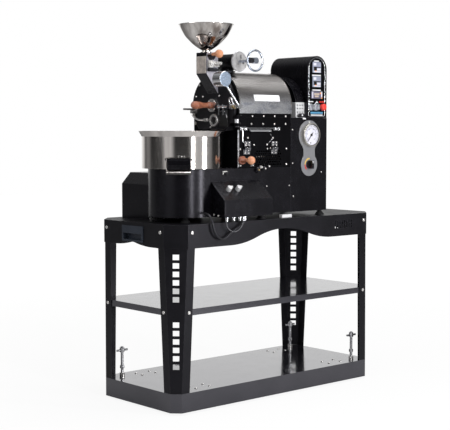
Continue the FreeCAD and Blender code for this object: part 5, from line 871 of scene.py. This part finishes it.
def make_number(text, place, size, name):
    """Raised plain number on the dial."""
    half_thick = mm(0.12)
    curve = bpy.data.curves.new(name + "_curve", "FONT")
    curve.body = text
    curve.size = mm(size)
    curve.align_x, curve.align_y = "CENTER", "CENTER"
    curve.extrude = half_thick
    curve.resolution_u = 3
    source = add(name + "_source", curve)
    bpy.context.view_layer.update()
    mesh = bpy.data.meshes.new_from_object(source.evaluated_get(bpy.context.evaluated_depsgraph_get()))
    bpy.data.objects.remove(source)
    piece = Piece()
    piece.mesh.from_mesh(mesh)
    bpy.data.meshes.remove(mesh)
    bmesh.ops.remove_doubles(piece.mesh, verts=piece.mesh.verts, dist=mm(0.001))
    middle = at(*place)
    for vertex in piece.mesh.verts:
        x, y, z = vertex.co
        vertex.co = middle + Vector((x, -z - half_thick, y))
    piece.done(name, "plastic")


# ---------------- face plate, neck and duct
PLATE_FACE = -229.3
BOSS_FACE = -244.3
BOSS, BOSS_PITCH = (-84, 480), 17.5  # y and height of its middle, and how far off its screws stand
SHAFT = (-248, 473)  # x and height of the discharge door's shaft
CHEEK = -108.0  # front face of the neck
DAMPER, DAMPER_FACE = (-150, 664), -154.0


def make_face_plate_parts():
    piece = Piece()
    for y, height in ((-10.8, 518.3), (-116, 519.7), (11.5, 567.3), (34, 520), (-60, 388)):
        piece.screw((PLATE_FACE, y, height), LEFT, 4.4)
    for side in (-BOSS_PITCH, BOSS_PITCH):
        for level in (-BOSS_PITCH, BOSS_PITCH):
            piece.screw((BOSS_FACE, BOSS[0] + side, BOSS[1] + level), LEFT, 3.4)
    piece.done("plate_bolts", "screw", "face_plate")
    piece = Piece()
    piece.turn((-238.3, -94, 417), LEFT, [(0, 16.8), (0.8, 16.4)], 48)
    piece.done("sight_glass", "glass", "face_plate")
    piece = Piece()
    for y, height in (((38, 51), (429, 447)), ((30, 42), (399, 411))):
        piece.block((PLATE_FACE - 5, PLATE_FACE), y, height, 1.5)
    piece.done("plate_clamps", "champagne", "face_plate")


def make_door_parts():
    """Rib, catch and collars that move with the discharge door."""
    rib_x = -236.4
    piece = Piece()
    piece.tube([(rib_x, -127, 456), (rib_x, -143, 456), (rib_x, -167, 448), (rib_x, -172, 428)], 1.3, 10)
    piece.turn(on_face(SHAFT, -209), FRONT, [(0, 11, 6), (9, 11, 6)], 36)
    piece.turn(on_face(SHAFT, -244), FRONT, [(0, 9, 6), (7, 9, 6)], 36)
    piece.done("door_rib", "zinc", "discharge_door")
    piece = Piece()
    hook = [(-250, -212, 478), (-256, -206, 497), (-258, -214, 511), (-258, -228, 503), (-257, -234, 485)]
    piece.tube(hook, 3.4, 16, soften=3)
    size = 5.5
    angles = [radians(degrees) for degrees in range(-75, 90, 15)]
    ball = [(size * sin(angle), size * cos(angle)) for angle in angles]
    piece.turn((-257, -234.5, 482), UP, [(-size, 0), *ball, (size, 0)], 24)
    piece.done("door_catch_lever", "chrome", "discharge_door")
    piece = Piece()
    collar = [(0, 8.2), (1.5, 9), (12, 9), (13.5, 8.2)]
    piece.turn(on_face(SHAFT, -222), FRONT, collar, 36)
    piece.done("door_shaft_collar", "brass", "discharge_door")


def make_neck_parts():
    """Half-round pad and small valve on the front of the hopper's neck."""
    pad, pad_radius = (-266, 689.6), 23
    piece = Piece()
    angles = [radians(degrees) for degrees in range(180, 361, 12)]
    outline = [(pad[0] + pad_radius * cos(angle), CHEEK, pad[1] + pad_radius * sin(angle))
               for angle in angles]
    piece.slab(outline, (0, -2.4, 0), 0.4)
    piece.block((-291, -250), (CHEEK - 20, CHEEK), (620, 635), 3.0)
    piece.turn((-255, CHEEK - 12, 628), RIGHT, [(0, 6), (16, 6), (18, 4.5)], 24)
    piece.done("neck_valve_base", "plastic", "face_plate")
    piece = Piece()
    piece.block((-290, -264), (CHEEK - 17, CHEEK), (637, 667), 4.0)
    thick, thin = 7.5, 5.5
    grooved = [(0, thick), (10, thick), (10, thin), (14, thin), (14, thick), (30, thick), (30, thin),
               (34, thin), (34, thick), (44, thick), (46, 5)]
    piece.turn((-265, CHEEK - 10, 655), RIGHT, grooved, 32)
    piece.turn((-265, CHEEK - 9, 643), RIGHT, [(0, 4), (34, 4), (36, 2.5)], 24)
    cap = [(0, 9), (3, 9), (5, 7), (5, 4), (8, 3.4)]
    piece.turn((-278, CHEEK - 16.5, 652), FRONT, cap, 32)
    piece.done("neck_valve", "screw", "face_plate")


def make_duct_parts():
    """Rim and marks of the damper's disc, and the grip and clamp that turn with its handwheel."""
    thick = 1.6
    piece = Piece()
    piece.hoop(on_face(DAMPER, DAMPER_FACE), FRONT, 39.5, 42.3, thick, 0.5, 72)
    piece.done("damper_disc_rim", "zinc")
    piece = Piece()
    for mark in ([(-143.5, 677), (-138.5, 677), (-139.5, 693), (-142.5, 693)],
                 [(-135, 658), (-124, 655), (-121, 671), (-130, 672)]):
        piece.slab([on_face(place, DAMPER_FACE) for place in mark], (0, -thick, 0), 0.4)
    piece.done("damper_marks", "plastic")
    for name, x, kind in (("grip", (-190, -162), "plastic"), ("clamp", (-138, -110), "bare")):
        piece = Piece()
        piece.block(x, (-257, -245), (652.5, 675.5), 1.6)
        piece.done("handwheel_" + name, kind, "damper_wheel")


# ---------------- bean outlet
BIN_X = -398  # middle of the cooling bin, which stands on the middle plane
OUTLET_TURN = radians(-134.0)
OUTWARD = Vector((cos(OUTLET_TURN), sin(OUTLET_TURN), 0))
SIDEWAYS = Vector((-sin(OUTLET_TURN), cos(OUTLET_TURN), 0))


def outlet_spot(reach, offset, height):
    """Place in the outlet: reach from the bin's axis, offset to the side."""
    return Vector((BIN_X, AXIS_Y, height)) + OUTWARD * reach + SIDEWAYS * offset


def make_outlet_teeth():
    """Three small hooks on the roof of the bean outlet."""
    reach, root, tip = 171, 267, 276
    piece = Piece()
    for offset in (-2, 10, 22):
        outline = [(offset - 3.5, root), (offset + 3.5, root), (offset + 2, 272), (offset, tip)]
        piece.slab([outlet_spot(reach, *place) for place in outline], OUTWARD * 2, 0.3)
    piece.done("outlet_hooks", "screw")


def make_outlet_painted_shade():
    """Dark sheets on the bean outlet's back and floor: painted shade inside the opening."""
    thick, half, floor = 1.2, 46, 200
    piece = Piece()
    back = [(-half, floor), (half, floor), (half, 262), (-half, 262)]
    piece.slab([outlet_spot(173, *place) for place in back], OUTWARD * thick, 0.2)
    ground = [(175, -half), (187, -half), (187, half), (175, half)]
    piece.slab([outlet_spot(*place, floor) for place in ground], UP * thick, 0.2)
    piece.done("outlet_painted_shade", "plastic")


# ---------------- back
def make_rear_parts():
    """Louvres and screws on the panels at the back."""
    louvres, first, pitch = 7, 110, 17
    x, wide, deep, high = 140, 140, 5, 11
    piece = Piece()
    for k in range(louvres):
        height = first + pitch * k
        outline = [(x, BODY_REAR, height), (x, BODY_REAR + deep, height), (x, BODY_REAR, height + high)]
        piece.slab(outline, (wide, 0, 0), 0.4)
    piece.done("tower_louvres", "satin")
    piece = Piece()
    for x in (110, 305):
        for height in (40, 150, 260, 370):
            piece.screw((x, BODY_REAR, height), BACK, 3.4)
    for i in range(ROW_SCREWS):
        for height in (435, 230):
            piece.screw((-198 + 65 * i, BODY_REAR, height), BACK)
    piece.done("rear_screws", "screw")


# ---------------- studio
ROOM_FRONT = (-0.664, -0.747, 0)  # from the object towards the photo's camera
ROOM_RIGHT = (0.747, -0.664, 0)
ROOM_DARK = 0.03  # what metal sees between the cards
CEILING = 0.42
FILL = 0.35  # light that matt surfaces take from all sides
CARD_TOPS = (0.6, 0.35, 0.1, 1.0)  # two heights and how bright the cards are there
CEILING_EDGE = (0.45, 0.7)
BACKDROP_SIDE, BACKDROP_TOP = (-0.55, -0.85), (0.42, 0.3)
WHITE = (1, 1, 1, 1)
# soft cards round the room: angle right of the front, half width and soft edge in degrees, brightness
cards = [(-111, 6, 10, 0.2), (-38, 8, 12, 0.62), (48, 9, 12, 0.42), (86, 5, 8, 0.25)]


def make_world():
    """White to the camera and dim to matt surfaces; metal sees a dark room with cards and a backdrop."""
    world = bpy.data.worlds.new("studio")
    bpy.context.scene.world = world
    s = Shader(world)
    s.tree.nodes.clear()
    rays = s.node("LightPath").outputs
    direction = s.node("TexCoord").outputs["Generated"]
    height = s.node("SeparateXYZ", {0: direction}).outputs["Z"]
    front, right = s.dot(direction, ROOM_FRONT), s.dot(direction, ROOM_RIGHT)
    turn = s.math("DEGREES", s.math("ARCTAN2", right, front))
    cast = ROOM_DARK
    for angle, half, soft, level in cards:
        away = s.math("ABSOLUTE", s.math("SUBTRACT", turn, angle))
        cast = s.math("ADD", cast, s.spread(away, half + soft, half, 0.0, level))
    cast = s.math("MULTIPLY", cast, s.spread(height, *CARD_TOPS))
    cast = s.math("ADD", cast, s.spread(height, *CEILING_EDGE, 0.0, CEILING))
    backdrop = s.math("MULTIPLY", s.spread(front, *BACKDROP_SIDE), s.spread(height, *BACKDROP_TOP))
    seen = s.math("MAXIMUM", cast, backdrop)
    views = s.math("ADD", rays["Is Glossy Ray"], rays["Is Transmission Ray"], clamp=True)
    strength = s.blend(views, FILL, seen)
    strength = s.blend(rays["Is Camera Ray"], strength, 1.0)
    light = s.node("Background", {"Color": WHITE, "Strength": strength}).outputs[0]
    s.node("OutputWorld", {"Surface": light})


FLOOR_REACH = 14.0
FLOOR_GREY = (0.6, 0.6, 0.6, 1)
FLOOR_GLOW = (1.0, 5.0, 1.06, 1.16)  # near and far in metres, and the glow there
GLOW_SHARE = 0.86  # the rest of what the camera sees is lit, with the shadows


def make_floor():
    """White floor that glows to the camera alone and takes soft shadows."""
    mesh = bpy.data.meshes.new("floor")
    reach = FLOOR_REACH
    corners = [(-reach, -reach, 0), (reach, -reach, 0), (reach, reach, 0), (-reach, reach, 0)]
    mesh.from_pydata(corners, [], [(0, 1, 2, 3)])
    material = bpy.data.materials.new("floor_white")
    s = Shader(material)
    s.tree.nodes.clear()
    rays = s.node("LightPath").outputs
    lit = s.node("BsdfDiffuse", {"Color": FLOOR_GREY}).outputs[0]
    place = s.node("TexCoord").outputs["Object"]
    away = s.node("VectorMath", {0: place}, operation="LENGTH").outputs["Value"]
    glow = s.spread(away, *FLOOR_GLOW)
    plain = s.node("Emission", {"Color": WHITE, "Strength": glow}).outputs[0]
    share = s.math("MULTIPLY", rays["Is Camera Ray"], GLOW_SHARE)
    both = s.node("MixShader", {0: share, 1: lit, 2: plain}).outputs[0]
    s.node("OutputMaterial", {"Surface": both})
    mesh.materials.append(material)
    add("floor", mesh)


LAMP_TARGET = Vector((0, 0, 1.0))
# name, place and size in metres, and power in watts
lamps = [
    ("key_softbox", (-0.9, -3.3, 1.7), (0.25, 2.2), 44),
    ("right_softbox", (0.95, -2.95, 1.3), (0.4, 1.9), 46),
    ("left_softbox", (-3.6, 0.6, 2.2), (1.6, 1.8), 30),
    ("top_softbox", (0.2, -0.6, 3.6), (2.4, 1.2), 45),
]


def make_lamp(name, place, size, power):
    data = bpy.data.lights.new(name, "AREA")
    data.shape = "RECTANGLE"
    data.size, data.size_y = size
    data.energy = power
    made = add(name, data)
    made.location = place
    made.rotation_euler = (LAMP_TARGET - Vector(place)).to_track_quat("-Z", "Y").to_euler()


# ---------------- making
bpy.context.scene.view_settings.view_transform = "Standard"
make_camera()
make_cord("cable", "main_cable", cable_points, 4.5, "cable")
make_cord("lead", "box_lead", lead_points, 2.2, "braid")
paint_nodes()
make_body_screws()
make_body_strips()
make_base_fittings()
make_burner_door_parts()
make_cover_parts()
make_guard_parts()
make_panel_bead()
make_panel_strips()
make_panel_modules()
make_switch_parts()
make_gauge_parts()
make_gas_parts()
make_face_plate_parts()
make_door_parts()
make_neck_parts()
make_duct_parts()
make_outlet_teeth()
make_outlet_painted_shade()
make_rear_parts()
make_world()
make_floor()
for lamp in lamps:
    make_lamp(*lamp)
